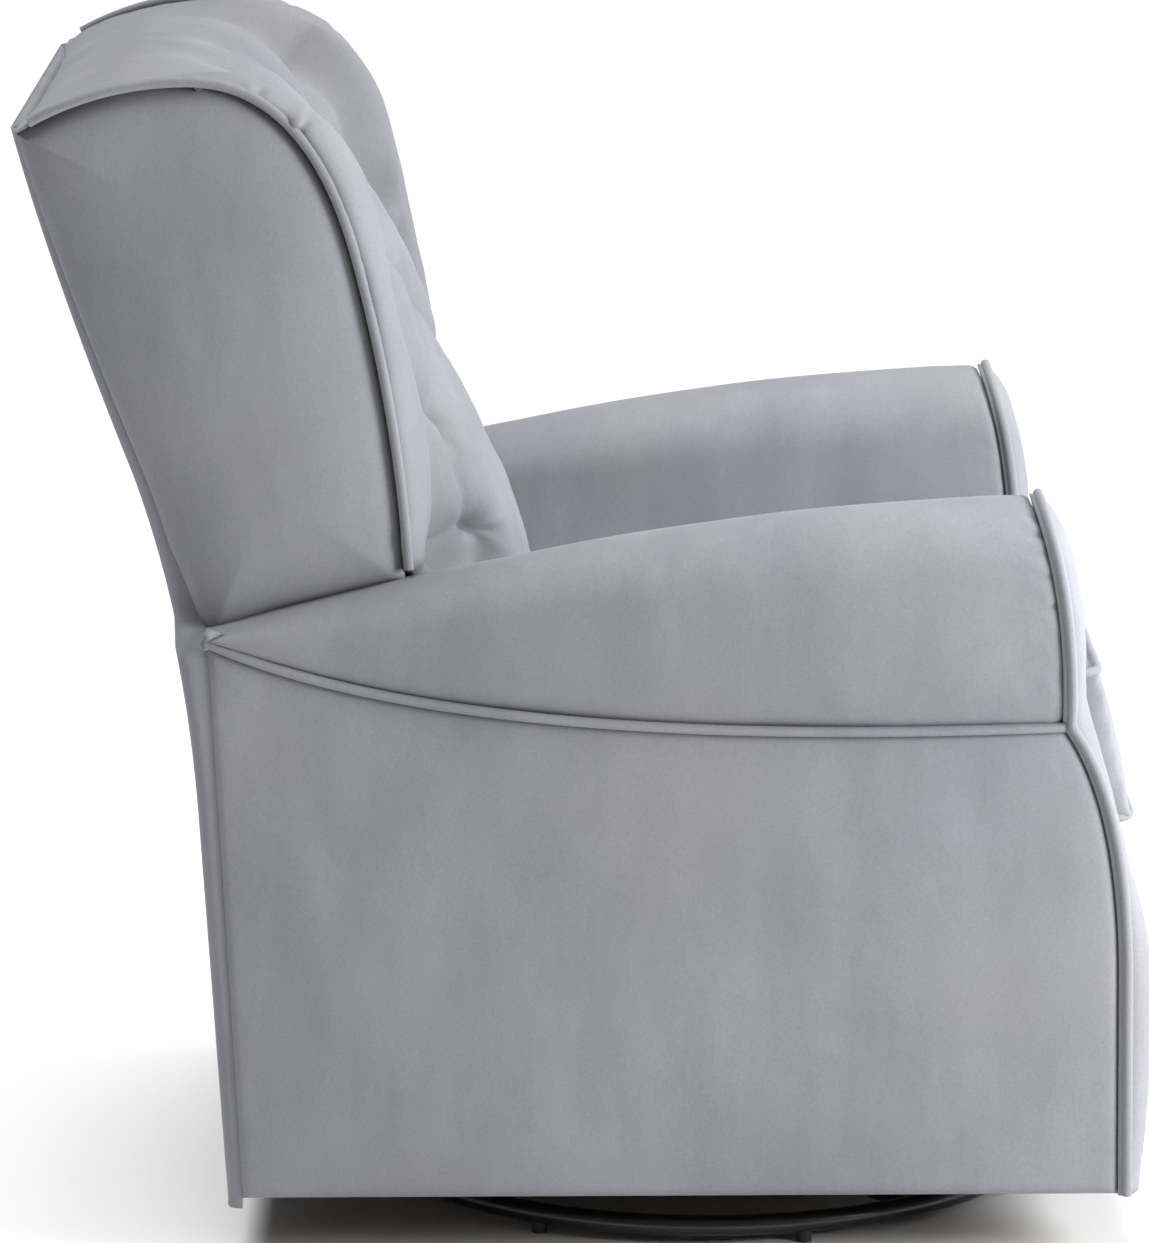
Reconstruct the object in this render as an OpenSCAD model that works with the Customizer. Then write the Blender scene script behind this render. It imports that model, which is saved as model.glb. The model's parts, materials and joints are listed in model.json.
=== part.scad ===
/* [Overall size] */
// Width over the arm rolls
chair_w = 760; // [640:1:920]
// Depth from the front panel to the top of the back
chair_d = 954; // [800:1:1140]
// Height to the top of the back
chair_h = 1010; // [840:5:1215]

/* [Arms] */
// Height of the arm roll at its front
arm_h = 658; // [600:1:760]
// Width of the arm roll
roll_w = 116; // [96:1:130]
// Height of the arm roll at its front
roll_h = 191; // [160:1:210]
// How far the roll stands out over the side panel
roll_out = 28; // [10:1:34]
// Height of the panels' lower edge above the floor
skirt_h = 58; // [54:1:68]

/* [Back] */
// How far the top of the back stands behind its foot
back_rake = 169; // [120:1:200]
// Thickness of the hollow behind the back posts
back_hollow = 62; // [50:1:72]
// Width of one wing, pad, board and lining together
wing_w = 75; // [66:1:88]

/* [Seat] */
// Slope of the seat towards the back, in degrees
seat_tilt = 2.85; // [0:0.05:4]
// Height of the seat cushion's front face
cushion_h = 126; // [100:1:140]
// Space kept between soft pieces that face each other
soft_gap = 3; // [2:0.5:5]

/* [Wood] */
// Thickness of the rails and posts
rail_t = 28; // [22:1:32]
// Thickness of the boards
board_t = 18; // [14:1:20]
// Height of the seat rails at the back
rail_h = 76; // [60:1:92]

/* [Base] */
// Radius of the floor ring, to the middle of its tube
ring_r = 300; // [240:1:330]
// Diameter of the ring's tube
tube_d = 18; // [15:0.5:22]
// Height of the feet under the ring
foot_h = 8; // [6:0.5:10]
// Diameter of a foot
foot_d = 13; // [10:0.5:15]
// Number of feet
foot_n = 8; // [4:1:12]
// Turn of the base about its axis at rest, in degrees
base_turn = -7.6; // [-45:0.1:45]
// How far the swivel axis stands behind the chair's front
swivel_setback = 370; // [330:1:420]
// Width of the bars across the ring
bar_w = 28; // [22:1:34]

/* [Glider] */
// Distance between the two pivots of a link
link_l = 110; // [90:1:132]
// Half the distance between the front and the rear links
link_span = 130; // [108:1:156]
// Swing of a link each way, in degrees
swing = 26; // [15:1:28]
// Radius of a pivot pin
pin_r = 5; // [4:0.5:6]
// Thickness of the steel plates and links
plate_t = 4; // [3:0.5:5]
// Inner face of the side brackets, from the middle
bracket_x = 176; // [150:1:180]
// Running clearance of a pin in its bush
run = 0.05; // [0.02:0.01:0.1]

/* [Springs] */
// Number of seat springs
spring_n = 4; // [3:1:5]
// Radius of a bend in the spring wire
bend_r = 15; // [12:0.5:18]
// Diameter of the spring wire
wire_d = 4; // [3:0.5:5]

/* [Hidden] */
$fn = 48;

velvet = [0.64, 0.66, 0.72];
timber = [0.80, 0.66, 0.46];
steel = [0.12, 0.12, 0.13];
zinc = [0.70, 0.71, 0.73];
rubber = [0.05, 0.05, 0.05];
nylon = [0.85, 0.83, 0.75];
cloth = [0.2, 0.2, 0.21];

function bez(a, b, c, n = 8) =
  [for (i = [0:n]) let (t = i / n) (1 - t) * (1 - t) * a + 2 * t * (1 - t) * b + t * t * c];
function bez_z(a, b, c, y) =
  let (p = a.x - 2 * b.x + c.x, q = 2 * (b.x - a.x), r = a.x - y)
  let (t = (-q + sqrt(q * q - 4 * p * r)) / (2 * p))
  (1 - t) * (1 - t) * a.y + 2 * t * (1 - t) * b.y + t * t * c.y;
function reversed(list) = [for (i = [len(list) - 1:-1:0]) list[i]];
function moved(list, dy) = [for (p = list) [p.x + dy, p.y]];
function lowered(list, dz) = [for (p = list) [p.x, p.y - dz]];

front = -chair_d / 2;
rear = chair_d / 2;
swivel_y = front + swivel_setback;

// Heights of the base and the bearing, from the floor up
ring_z = foot_h + tube_d / 2;
bar_h = 12;
bar_top = ring_z + bar_h / 2 + 1;
lower_top = bar_top + plate_t;
ball_r = 4;
ball_gap = 0.1;
upper_bottom = lower_top + 2 * ball_r;
upper_top = upper_bottom + plate_t;
plate_r = 85;
race_r = 68;
ball_n = 20;
cage_w = 18;
king_r = 8;
king_head = 5;

// Carrier
channel_w = 30;
channel_h = 20;
channel_wall = 3;
channel_y = 104;
channel_bolt_x = 70;
bolt_r = 4;

// Pivots: a link hangs from the side bracket and carries the seat's drop leg
eye_r = 14;
bush_r = pin_r + 2.5;
side_gap = 4;
link_x = bracket_x + plate_t + side_gap;
leg_x = link_x + plate_t + side_gap;
lower_z = skirt_h + 27;
upper_z = lower_z + link_l;
bumper_r = 8;
bumper_d = 0.54 * link_l;
bumper_a = swing + asin((eye_r - 2 + bumper_r + 0.4) / bumper_d);
travel_z = upper_z + eye_r + 31;

// Seat frame
dust_t = 2;
frame_z = travel_z + dust_t;
side_x = chair_w / 2 - roll_out;
panel_t = 12;
arm_in = chair_w / 2 - roll_w;
board_x = side_x - panel_t - board_t;
post_x = board_x - rail_t;
frame_x = arm_in + 2;
rail_front = front + 40;
function seat_z(y) = frame_z + rail_h + 14 + (rear_rail_y - y) * tan(seat_tilt);
deck_t = 6;
wood_drop = 14;

// Outlines in the plane of depth and height
rear_foot = [rear - back_rake, skirt_h];
rear_low = [rear_foot.x + 20, arm_h * 0.6];
rear_knee = [rear_foot.x + 72, arm_h + 12];
rear_top = [rear, chair_h - 39];
rear_mid = [rear_foot.x + 30, arm_h - 110];
rear_high = [rear - 30, rear_top.y * 0.6 + rear_knee.y * 0.4];
rear_line = concat([rear_foot], bez(rear_low, rear_mid, rear_knee, 6), [for (i = [1:8])
  bez(rear_knee, rear_high, rear_top, 8)[i]]);
function rear_at(z) = lookup(z, [for (p = rear_line) [p.y, p.x]]);
function post_line(d, z0, z1) = concat([[rear_at(z0) - d, z0]],
  [for (p = rear_line) if (p.y > z0 && p.y < z1) [p.x - d, p.y]], [[rear_at(z1) - d, z1]]);
// Post faces: a hollow behind them, the back cushion in front
post_d = 45;
post_back = back_hollow;
post_front = back_hollow + post_d;
rear_rail_y = rear_at(frame_z) - post_front;

// Seam between the arm roll and the side panel, and the top of the roll
roll_z = arm_h - roll_h;
seam_a = [front + 77, roll_z];
seam_b = [rear_foot.x - 190, roll_z - 18];
seam_c = [rear_foot.x + 12, roll_z + 79];
top_a = [front + 104, arm_h];
top_b = [rear_foot.x - 370, arm_h + 4];
top_c = [rear_foot.x + 12, roll_z + 83];
function seam_z(y) = bez_z(seam_a, seam_b, seam_c, y);
function top_z(y) = bez_z(top_a, top_b, top_c, y);

// Front edge of the sides, and the front of the padded arm ends
knee_z = seam_a.y * 0.55;
edge_low = concat([[front + 25, skirt_h]],
  bez([front + 27, knee_z], [front + 30, roll_z * 0.86], seam_a, 6));
edge_high = bez(seam_a, [seam_a.x + 1, arm_h - 70], [top_a.x + 3, arm_h + 6], 6);
belly_z = skirt_h + 150;
neck_z = roll_z * 0.72;
face_low = concat(bez([front + 9, skirt_h], [front, belly_z - 60], [front, belly_z], 4),
  bez([front, belly_z + 8], [front, neck_z - 50], [front + 20, neck_z], 4));
face_high = concat(bez([front + 22, neck_z + 10], [front + 36, roll_z * 0.87], [front + 60, roll_z + 20], 5),
  bez([front + 61, roll_z + 40], [front + 62, arm_h - 60], [front + 92, arm_h], 5));

// Wing outline: front edge, rounded top corner, top edge
wing_foot = [rear_foot.x - 155, top_z(rear_foot.x - 155) + soft_gap];
wing_top = [rear - 148, chair_h];
wing_knee = [rear - 282, chair_h - 146];
wing_tip = [rear_top.x - 15, rear_top.y + 5];
wing_front = concat(
  bez(wing_foot, [wing_foot.x + 7, (wing_foot.y + wing_knee.y) / 2], wing_knee, 6),
  bez(wing_knee, [wing_knee.x + 38, wing_top.y], wing_top, 8),
  bez(wing_top, [rear - 70, wing_top.y], wing_tip, 4));

back_in = chair_w / 2 - 55 - wing_w;
wing_out = back_in + wing_w;
wing_board_x = back_in + 12;

// A slab between two distances from the middle, with its outline in depth and height
module slab(x0, x1, outline)
  translate([x0, 0, 0]) rotate([90, 0, 90]) linear_extrude(x1 - x0) polygon(outline);
module block(x0, x1, y0, y1, z0, z1) translate([x0, y0, z0]) cube([x1 - x0, y1 - y0, z1 - z0]);
module rod(x0, x1, r, y, z) translate([x0, y, z]) rotate([0, 90, 0]) cylinder(r = r, h = x1 - x0);
module on_side(s) mirror([s < 0 ? 1 : 0, 0, 0]) children();
module both_sides() for (s = [-1, 1]) on_side(s) children();
module at_swivel() translate([0, swivel_y, 0]) children();
module at_base() at_swivel() rotate([0, 0, base_turn]) children();

// ---- base
module ring_tube()
  translate([0, 0, ring_z]) rotate_extrude($fn = 96) translate([ring_r, 0]) circle(d = tube_d);
module base_ring() color(steel) at_base() ring_tube();
bar_turn = 45;
module cross_bar_long() color(steel) at_base() rotate([0, 0, bar_turn]) difference() {
  block(-ring_r, ring_r, -bar_w / 2, bar_w / 2, bar_top - bar_h, bar_top);
  ring_tube();
  translate([0, 0, -1]) cylinder(r = king_r, h = bar_top + 2);
}
module half_bar(turn) at_base() rotate([0, 0, turn]) difference() {
  block(bar_w / 2, ring_r, -bar_w / 2, bar_w / 2, bar_top - bar_h, bar_top);
  ring_tube();
}
module cross_bar_left() color(steel) half_bar(bar_turn - 90);
module cross_bar_right() color(steel) half_bar(bar_turn + 90);
module base_feet() color(rubber) at_base() difference() {
  for (i = [0:foot_n - 1]) rotate([0, 0, 360 / foot_n * (i + 0.5)])
    translate([ring_r, 0, 0]) cylinder(d = foot_d, h = ring_z - 2);
  ring_tube();
}
module bearing_lower_plate() color(zinc) at_swivel() translate([0, 0, bar_top]) difference() {
  cylinder(r = plate_r, h = plate_t);
  translate([0, 0, -1]) cylinder(r = king_r, h = plate_t + 2);
}
module ball_places() for (i = [0:ball_n - 1]) rotate([0, 0, 360 / ball_n * i])
  translate([race_r, 0, 0]) children();
module bearing_cage() color(nylon) at_swivel() difference() {
  translate([0, 0, lower_top + ball_gap]) difference() {
    cylinder(r = race_r + cage_w / 2, h = ball_r);
    translate([0, 0, -1]) cylinder(r = race_r - cage_w / 2, h = ball_r + 2);
  }
  translate([0, 0, lower_top - 1]) ball_places() cylinder(r = ball_r + 0.3, h = 2 * ball_r);
}
module bearing_balls() color(zinc) at_swivel() translate([0, 0, lower_top + ball_r - ball_gap / 2])
  ball_places() sphere(r = ball_r - ball_gap / 2);
nut_h = 8;
module king_bolt() color(zinc) at_swivel() {
  translate([0, 0, bar_top - bar_h - king_head]) cylinder(r = king_r + 6, h = king_head);
  translate([0, 0, bar_top - bar_h - 1]) cylinder(r = king_r, h = upper_top + 6 + nut_h - bar_top + bar_h);
}
module king_washer() color(zinc) at_swivel() translate([0, 0, upper_top + 0.3]) difference() {
  cylinder(r = king_r + 10, h = 2);
  translate([0, 0, -1]) cylinder(r = king_r, h = 4);
}
module king_nut() color(zinc) at_swivel() translate([0, 0, upper_top + 2.3]) difference() {
  cylinder(r = king_r + 6, h = nut_h, $fn = 6);
  translate([0, 0, -1]) cylinder(r = king_r, h = nut_h + 2);
}

// ---- carrier
upper_x = channel_bolt_x + 20;
upper_y = channel_y + channel_w / 2;
module channel_bolt_places() for (x = [-1, 1], y = [-1, 1])
  translate([x * channel_bolt_x, y * channel_y, 0]) children();
module bearing_upper_plate() color(steel) at_swivel() difference() {
  block(-upper_x, upper_x, -upper_y, upper_y, upper_bottom, upper_top);
  translate([0, 0, upper_bottom - 1]) cylinder(r = king_r + run, h = plate_t + 2);
  translate([0, 0, upper_bottom - 1]) channel_bolt_places() cylinder(r = bolt_r, h = plate_t + 2);
}
module cross_channel(s) at_swivel() translate([0, s * channel_y, upper_top]) difference() {
  block(-bracket_x, bracket_x, -channel_w / 2, channel_w / 2, 0, channel_h);
  block(-bracket_x - 1, bracket_x + 1, -channel_w / 2 + channel_wall, channel_w / 2 - channel_wall,
    channel_wall, channel_h - channel_wall);
  for (x = [-1, 1]) translate([x * channel_bolt_x, 0, -1]) cylinder(r = bolt_r, h = channel_h + 2);
}
module cross_channel_front() color(steel) cross_channel(-1);
module cross_channel_rear() color(steel) cross_channel(1);
module channel_bolts() color(zinc) at_swivel() channel_bolt_places() {
  translate([0, 0, upper_bottom - 3]) cylinder(r = bolt_r + 3, h = 3);
  translate([0, 0, upper_bottom - 1]) cylinder(r = bolt_r, h = plate_t + channel_h + 7);
  translate([0, 0, upper_top + channel_h]) cylinder(r = bolt_r + 3.5, h = 5, $fn = 6);
}
function bumper_y(side, away) = side * link_span + away * bumper_d * sin(bumper_a);
bumper_z = upper_z - bumper_d * cos(bumper_a);
module side_bracket(s) on_side(s) at_swivel() difference() {
  translate([bracket_x, 0, 0]) rotate([90, 0, 90]) linear_extrude(plate_t) hull() {
    for (y = [-link_span, link_span]) translate([y, upper_z]) circle(r = eye_r);
    for (y = [-link_span, link_span]) translate([y, bumper_z]) circle(r = eye_r - 2);
    for (y = [-1, 1]) translate([bumper_y(y, y), bumper_z]) circle(r = bumper_r + 1);
    translate([-upper_y, upper_top]) square([2 * upper_y, 1]);
  }
  for (y = [-link_span, link_span]) rod(bracket_x - 1, bracket_x + plate_t + 1, pin_r, y, upper_z);
}
module side_bracket_left() color(steel) side_bracket(1);
module side_bracket_right() color(steel) side_bracket(-1);
module upper_pins() color(zinc) both_sides() at_swivel() for (y = [-link_span, link_span]) {
  rod(bracket_x - 3, bracket_x, pin_r + 4, y, upper_z);
  rod(bracket_x - 1, link_x + plate_t + 2, pin_r, y, upper_z);
  rod(link_x + plate_t + 0.6, link_x + plate_t + 2.5, pin_r + 2, y, upper_z);
}
module stop_bumpers() color(rubber) both_sides() at_swivel() for (y = [-1, 1], away = [-1, 1])
  rod(bracket_x + plate_t, link_x + plate_t, bumper_r, bumper_y(y, away), bumper_z);

// ---- links, each with a bush in both eyes
module link(s, y, clear) on_side(s) at_swivel() difference() {
  union() {
    translate([link_x, 0, 0]) rotate([90, 0, 90]) linear_extrude(plate_t) hull() {
      translate([y, upper_z]) circle(r = eye_r - 2);
      translate([y, lower_z]) circle(r = eye_r - 2);
    }
    rod(bracket_x + plate_t + 0.4, link_x + plate_t + 0.3, bush_r, y, upper_z);
    rod(link_x - 0.3, leg_x - 0.4, bush_r, y, lower_z);
  }
  rod(bracket_x, leg_x, pin_r + run, y, upper_z);
  rod(bracket_x, leg_x + 1, pin_r + clear, y, lower_z);
}
module link_front_left() color(zinc) link(1, -link_span, run);
module link_front_right() color(zinc) link(-1, -link_span, 2 * run);
module link_rear_left() color(zinc) link(1, link_span, 2 * run);
module link_rear_right() color(zinc) link(-1, link_span, 2 * run);

// ---- steel under the seat
flange_w = 34;
rail_y0 = rail_front;
rail_y1 = rear_rail_y;
bolt_y = [rail_y0 + rail_t / 2, rail_y1 - rail_t / 2];
module seat_rail(s) on_side(s) difference() {
  union() {
    block(leg_x + plate_t - flange_w, leg_x + plate_t, rail_y0, rail_y1, travel_z - plate_t, travel_z);
    block(leg_x, leg_x + plate_t, rail_y0, rail_y1, travel_z - 26, travel_z);
  }
  for (y = bolt_y) translate([leg_x - 10, y, travel_z - plate_t - 1]) cylinder(r = bolt_r, h = plate_t + 2);
}
module seat_rail_left() color(steel) seat_rail(1);
module seat_rail_right() color(steel) seat_rail(-1);
module drop_legs() color(steel) both_sides() at_swivel() for (y = [-link_span, link_span]) difference() {
  translate([leg_x + plate_t, 0, 0]) rotate([90, 0, 90]) linear_extrude(plate_t) hull() {
    translate([y, lower_z]) circle(r = eye_r - 1);
    translate([y - 24, travel_z - 26]) square([48, 26 - plate_t]);
  }
  rod(leg_x + plate_t - 1, leg_x + 2 * plate_t + 1, pin_r, y, lower_z);
}
module lower_pins() color(zinc) both_sides() at_swivel() for (y = [-link_span, link_span]) {
  rod(leg_x + 2 * plate_t, leg_x + 2 * plate_t + 3, pin_r + 4, y, lower_z);
  rod(link_x - 2, leg_x + 2 * plate_t + 1, pin_r, y, lower_z);
  rod(leg_x - 0.1, leg_x + plate_t, pin_r + 3, y, lower_z);
  rod(link_x - 2.8, link_x - 0.6, pin_r + 2, y, lower_z);
}
bolt_in = 50;
module seat_bolts() color(zinc) both_sides() for (y = bolt_y) translate([leg_x - 10, y, 0]) {
  translate([0, 0, travel_z - plate_t - 5]) cylinder(r = bolt_r + 3, h = 5);
  translate([0, 0, travel_z - plate_t - 1]) cylinder(r = bolt_r, h = bolt_in);
}
module bolt_holes(z0, z1) for (s = [-1, 1], y = bolt_y)
  translate([s * (leg_x - 10), y, z0]) cylinder(r = bolt_r, h = z1 - z0);

// ---- wooden seat frame
function wood_z(y) = seat_z(y) - wood_drop;
module seat_slab(x0, x1, y0, y1, z0) slab(x0, x1, [[y0, z0], [y1, z0], [y1, wood_z(y1)], [y0, wood_z(y0)]]);
module frame_front_rail() color(timber) difference() {
  seat_slab(-frame_x, frame_x, rail_front, rail_front + rail_t, frame_z);
  bolt_holes(frame_z - 1, travel_z - plate_t - 1 + bolt_in);
}
module frame_rear_rail() color(timber) difference() {
  seat_slab(-frame_x, frame_x, rear_rail_y - rail_t, rear_rail_y, frame_z);
  bolt_holes(frame_z - 1, travel_z - plate_t - 1 + bolt_in);
  back_bolt_shanks();
}
side_rail_end = rear_rail_y + post_d + 14;
module frame_side(s) on_side(s) seat_slab(frame_x, frame_x + rail_t, rail_front, side_rail_end, frame_z);
module frame_side_left() color(timber) frame_side(1);
module frame_side_right() color(timber) frame_side(-1);
arm_post_y = [rail_front + 46, rear_rail_y - 10];
module arm_posts(s) on_side(s) for (y = arm_post_y)
  block(frame_x + rail_t, board_x, y, y + post_d, skirt_h + 14, seam_z(y) + 30);
module arm_posts_left() color(timber) arm_posts(1);
module arm_posts_right() color(timber) arm_posts(-1);
board_in = 8;
board_top_y = rear_foot.x - 60;
module arm_board(s) on_side(s) slab(board_x, board_x + board_t, concat(moved(edge_low, board_in),
  [[seam_a.x + 22, arm_h - 70], [top_a.x + 190, arm_h - 72], [board_top_y, seam_z(board_top_y) + 24],
    [rear_foot.x - 14, roll_z], [rear_foot.x - 22, skirt_h]]));
module arm_board_left() color(timber) arm_board(1);
module arm_board_right() color(timber) arm_board(-1);

// ---- wooden back frame
post_w = 28;
post_out = back_in + 12;
post_top = rear_top.y - 22;
function post_outline(z0, z1) = concat(post_line(post_front, z0, z1), reversed(post_line(post_back, z0, z1)));
module back_post(s) on_side(s) difference() {
  slab(post_out - post_w, post_out, post_outline(frame_z, post_top));
  back_bolt_shanks();
}
module back_post_left() color(timber) back_post(1);
module back_post_right() color(timber) back_post(-1);
function rail_heights() = [wood_z(rear_rail_y) + 40, (wood_z(rear_rail_y) + post_top) / 2, post_top - 46];
module back_rails() color(timber) for (z = rail_heights())
  slab(post_w - post_out, post_out - post_w, post_outline(z, z + 46));
bracket_top = seat_z(rear_rail_y) + 92;
bracket_low = frame_z + 8;
module back_brackets() color(zinc) both_sides() slab(post_out, post_out + 3,
  concat(post_line(post_front - 8, bracket_low, bracket_top),
    reversed(post_line(post_back + 8, bracket_low, bracket_top))));
back_bolt_z = frame_z + 36;
module back_bolt(r, y, h) both_sides()
  translate([post_out - post_w / 2, y, back_bolt_z]) rotate([-90, 0, 0]) cylinder(r = r, h = h);
module back_bolt_shanks() back_bolt(bolt_r, rear_rail_y - rail_t - 6, rail_t + post_d + 20);
module back_bolts() color(zinc) {
  back_bolt_shanks();
  back_bolt(bolt_r + 3, rear_rail_y - rail_t - 7, 7);
}
wing_board_in = 18;
wing_board_back = 34;
wing_rear = [for (p = rear_line) if (p.y > wing_foot.y && p.y < rear_top.y - 2) p];
wing_low = seam_c.y + 8;
function wing_outline(inset, rear_d) = concat(moved(wing_front, inset),
  reversed(moved(wing_rear, -rear_d)), [[rear_at(wing_low) - rear_d, wing_low]]);
module wing_boards() color(timber) both_sides() intersection() {
  slab(wing_board_x, wing_board_x + board_t, wing_outline(wing_board_in, 16));
  slab(wing_board_x, wing_board_x + board_t, lowered(wing_outline(0, wing_board_back), wing_board_in));
  block(0, chair_w, front, rear - wing_board_back, wing_foot.y - 46, wing_top.y - wing_board_in);
}
strap_h = 50;
strap_t = 2.5;
strap_n = 4;
lining_top = wing_top.y - 34;
lining_rear = post_line(post_front + strap_t + 2, wing_foot.y - 12, rear_top.y - 2);
module wing_linings() color(velvet) both_sides() intersection() {
  slab(back_in, wing_board_x, concat(wing_front, reversed(lining_rear)));
  block(0, chair_w, front, rear, wing_foot.y - 14, lining_top);
}

// ---- springs, webbing and covers
spring_y0 = rail_front + rail_t / 2 + 8;
spring_y1 = rear_rail_y - rail_t / 2 - 8;
spring_leg = 22;
bend_n = 2 * floor((spring_y1 - spring_y0) / (4 * bend_r));
spring_len = bend_n * 2 * bend_r;
spring_z = seat_z(spring_y0) - deck_t - wire_d / 2 - 3;
module spring_bend(s, leg) {
  rotate([0, 0, -90 * s]) rotate_extrude(angle = 180, $fn = 24) translate([bend_r, 0]) circle(d = wire_d);
  translate([0, -bend_r, 0]) rotate([0, -90 * s, 0]) cylinder(d = wire_d, h = leg);
}
module spring_wire() for (i = [0:bend_n - 1]) let (s = i % 2 == 0 ? 1 : -1)
  translate([s * spring_leg / 2, (2 * i + 1) * bend_r, 0])
    spring_bend(s, i == 0 ? spring_leg / 2 : spring_leg);
spring_edge = 50;
spring_step = 2 * (arm_in - spring_edge) / (spring_n - 1);
function spring_x(i) = (i - (spring_n - 1) / 2) * spring_step;
module spring_places() for (i = [0:spring_n - 1])
  translate([spring_x(i), spring_y0, spring_z]) rotate([-seat_tilt, 0, 0]) children();
module seat_springs() color(zinc) spring_places() spring_wire();
clip_z = 3;
clip_w = 18;
clip_l = 14;
function clip_side(y) = [[y, wood_z(y)], [y + clip_l, wood_z(y + clip_l)],
  [y + clip_l, wood_z(y + clip_l) + clip_z], [y, wood_z(y) + clip_z]];
module spring_clips() color(zinc) for (i = [0:spring_n - 1], y = [rail_front + 5, rear_rail_y - 5 - clip_l])
  slab(spring_x(i) - clip_w / 2, spring_x(i) + clip_w / 2, clip_side(y));
deck_top = -2;
deck_low = 1 - deck_t;
module seat_deck() color(cloth) slab(soft_gap - arm_in, arm_in - soft_gap,
  [[rail_front, seat_z(rail_front) + deck_low], [rear_rail_y, seat_z(rear_rail_y) + deck_low],
    [rear_rail_y, seat_z(rear_rail_y) + deck_top], [rail_front, seat_z(rail_front) + deck_top]]);
strap_gap = 0.6;
strap_face = post_front + strap_gap;
strap_z0 = rail_heights()[0] + 60;
strap_z1 = rail_heights()[2] - 60;
module strap_at(z) slab(4 - post_out, post_out - 4,
  concat(post_line(strap_face + strap_t, z - strap_h / 2, z + strap_h / 2),
    reversed(post_line(strap_face, z - strap_h / 2, z + strap_h / 2))));
module back_straps() color(cloth) for (i = [1:strap_n])
  strap_at(strap_z0 + (strap_z1 - strap_z0) * (i - 0.5) / strap_n);
module dust_cover() color(cloth) difference() {
  block(-frame_x, frame_x, rail_front, rear_rail_y, travel_z, travel_z + dust_t);
  bolt_holes(travel_z - 1, travel_z + dust_t + 1);
}

// ---- upholstery
cushion_x = arm_in - soft_gap;
cushion_front = front + 14;
cushion_rear = rear_foot.x - 248;
module seat_cushion() color(velvet) slab(-cushion_x, cushion_x,
  [[cushion_front, seat_z(cushion_front)], [cushion_rear + 8, seat_z(cushion_rear + 8)],
    [cushion_rear, seat_z(cushion_rear) + cushion_h + 2],
    [cushion_front + 29, seat_z(cushion_front) + cushion_h]]);
back_low = seat_z(cushion_rear + 14);
back_sit = seat_z(cushion_rear) + cushion_h;
cushion_back = strap_face + strap_t + soft_gap;
back_foot = [cushion_rear + 14, back_low];
back_turn = [cushion_rear + 2, back_sit + 70];
back_chest = [cushion_rear + 86, back_sit + 290];
crest_z = chair_h - 6;
crest_front = [rear - 150, crest_z];
crest_rear = [rear - 6, rear_top.y + 3];
back_face = concat([back_foot, [back_foot.x, back_sit + 10], [cushion_rear - 4, back_sit + 18]],
  bez(back_turn, [cushion_rear + 32, back_sit + 180], back_chest, 6),
  bez([rear - 300, wing_knee.y], [rear - 236, crest_z], crest_front, 8),
  bez([rear - 120, crest_z], [rear - 60, crest_z], crest_rear, 6),
  [[rear - 19, rear_top.y + 2], [rear - 24, post_top + 3]]);
module back_cushion() color(velvet) slab(-back_in + soft_gap, back_in - soft_gap,
  concat(back_face, reversed(post_line(cushion_back, back_low, post_top + 3))));
module wing_pad(s) on_side(s) slab(wing_board_x + board_t, wing_out, wing_outline(0, 14));
module wing_pad_left() color(velvet) wing_pad(1);
module wing_pad_right() color(velvet) wing_pad(-1);

// Section of the arm roll: round over the top, bulging out to the seam
roll_r = roll_w / 2;
roll_x = chair_w / 2 - roll_r;
function roll_cap(top, low) = min(roll_r, (top - low) * 0.32);
function roll_over(z, h, out) = [for (i = [0:12]) let (a = 180 - 15 * i)
  [roll_x + (a > 90 ? roll_r : roll_r - out) * cos(a), z + h * sin(a)]];
function roll_side(z, top, low, out) = let (x = chair_w / 2 - out)
  bez([x, z], [x, low + (top - low) * 0.28], [side_x, low], 6);
function roll_section(top, low, out) = let (h = roll_cap(top, low))
  concat([[arm_in, low]], roll_over(top - h, h, out), roll_side(top - h, top, low, out));
roll_y0 = seam_a.x + 6;
roll_y1 = seam_c.x - 16;
roll_n = 6;
slice_t = 0.5;
function slice_top(y) = min(top_z(max(y, top_a.x)), arm_h);
module roll_slice(y, out) translate([0, y + slice_t, 0]) rotate([90, 0, 0]) linear_extrude(slice_t)
  polygon(roll_section(slice_top(y), seam_z(y) + 1, out));
module arm_pad(s) on_side(s) difference() {
  hull() for (i = [0:roll_n - 1]) let (t = i / (roll_n - 1))
    roll_slice(roll_y0 + (roll_y1 - roll_y0) * t, roll_out * 0.8 * t * t);
  block(post_x - 1, board_x + board_t + 1, front, arm_post_y[1] + post_d + 30, 0, arm_h - 68);
  slab(0, chair_w, concat(moved(edge_high, 1), [[front - 50, arm_h + 40], [front - 50, roll_z - 20]]));
  block(post_x - 1, board_x + board_t + 1, front, rear, 0, seam_z(board_top_y) + 26);
}
module arm_pad_left() color(velvet) arm_pad(1);
module arm_pad_right() color(velvet) arm_pad(-1);
inner_y0 = seam_a.x + 6;
inner_y1 = rear_rail_y - 4;
module inner_arms() color(velvet) both_sides() slab(arm_in, frame_x + rail_t - 2,
  [[inner_y0, seat_z(inner_y0) + 1], [inner_y1, seat_z(inner_y1) + 1],
    [inner_y1, roll_z - 2], [inner_y0, roll_z - 2]]);
module front_view(s) on_side(s) translate([0, rear, 0]) rotate([90, 0, 0]) linear_extrude(chair_d + 10)
  polygon(concat(roll_section(arm_h, roll_z, 0), [[side_x, skirt_h], [arm_in, skirt_h]]));
module arm_front(s) intersection() {
  front_view(s);
  slab(-chair_w, chair_w, concat(face_low, face_high, reversed(edge_high), reversed(edge_low)));
}
module arm_front_left() color(velvet) arm_front(1);
module arm_front_right() color(velvet) arm_front(-1);
panel_y0 = seam_a.x + 4;
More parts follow.
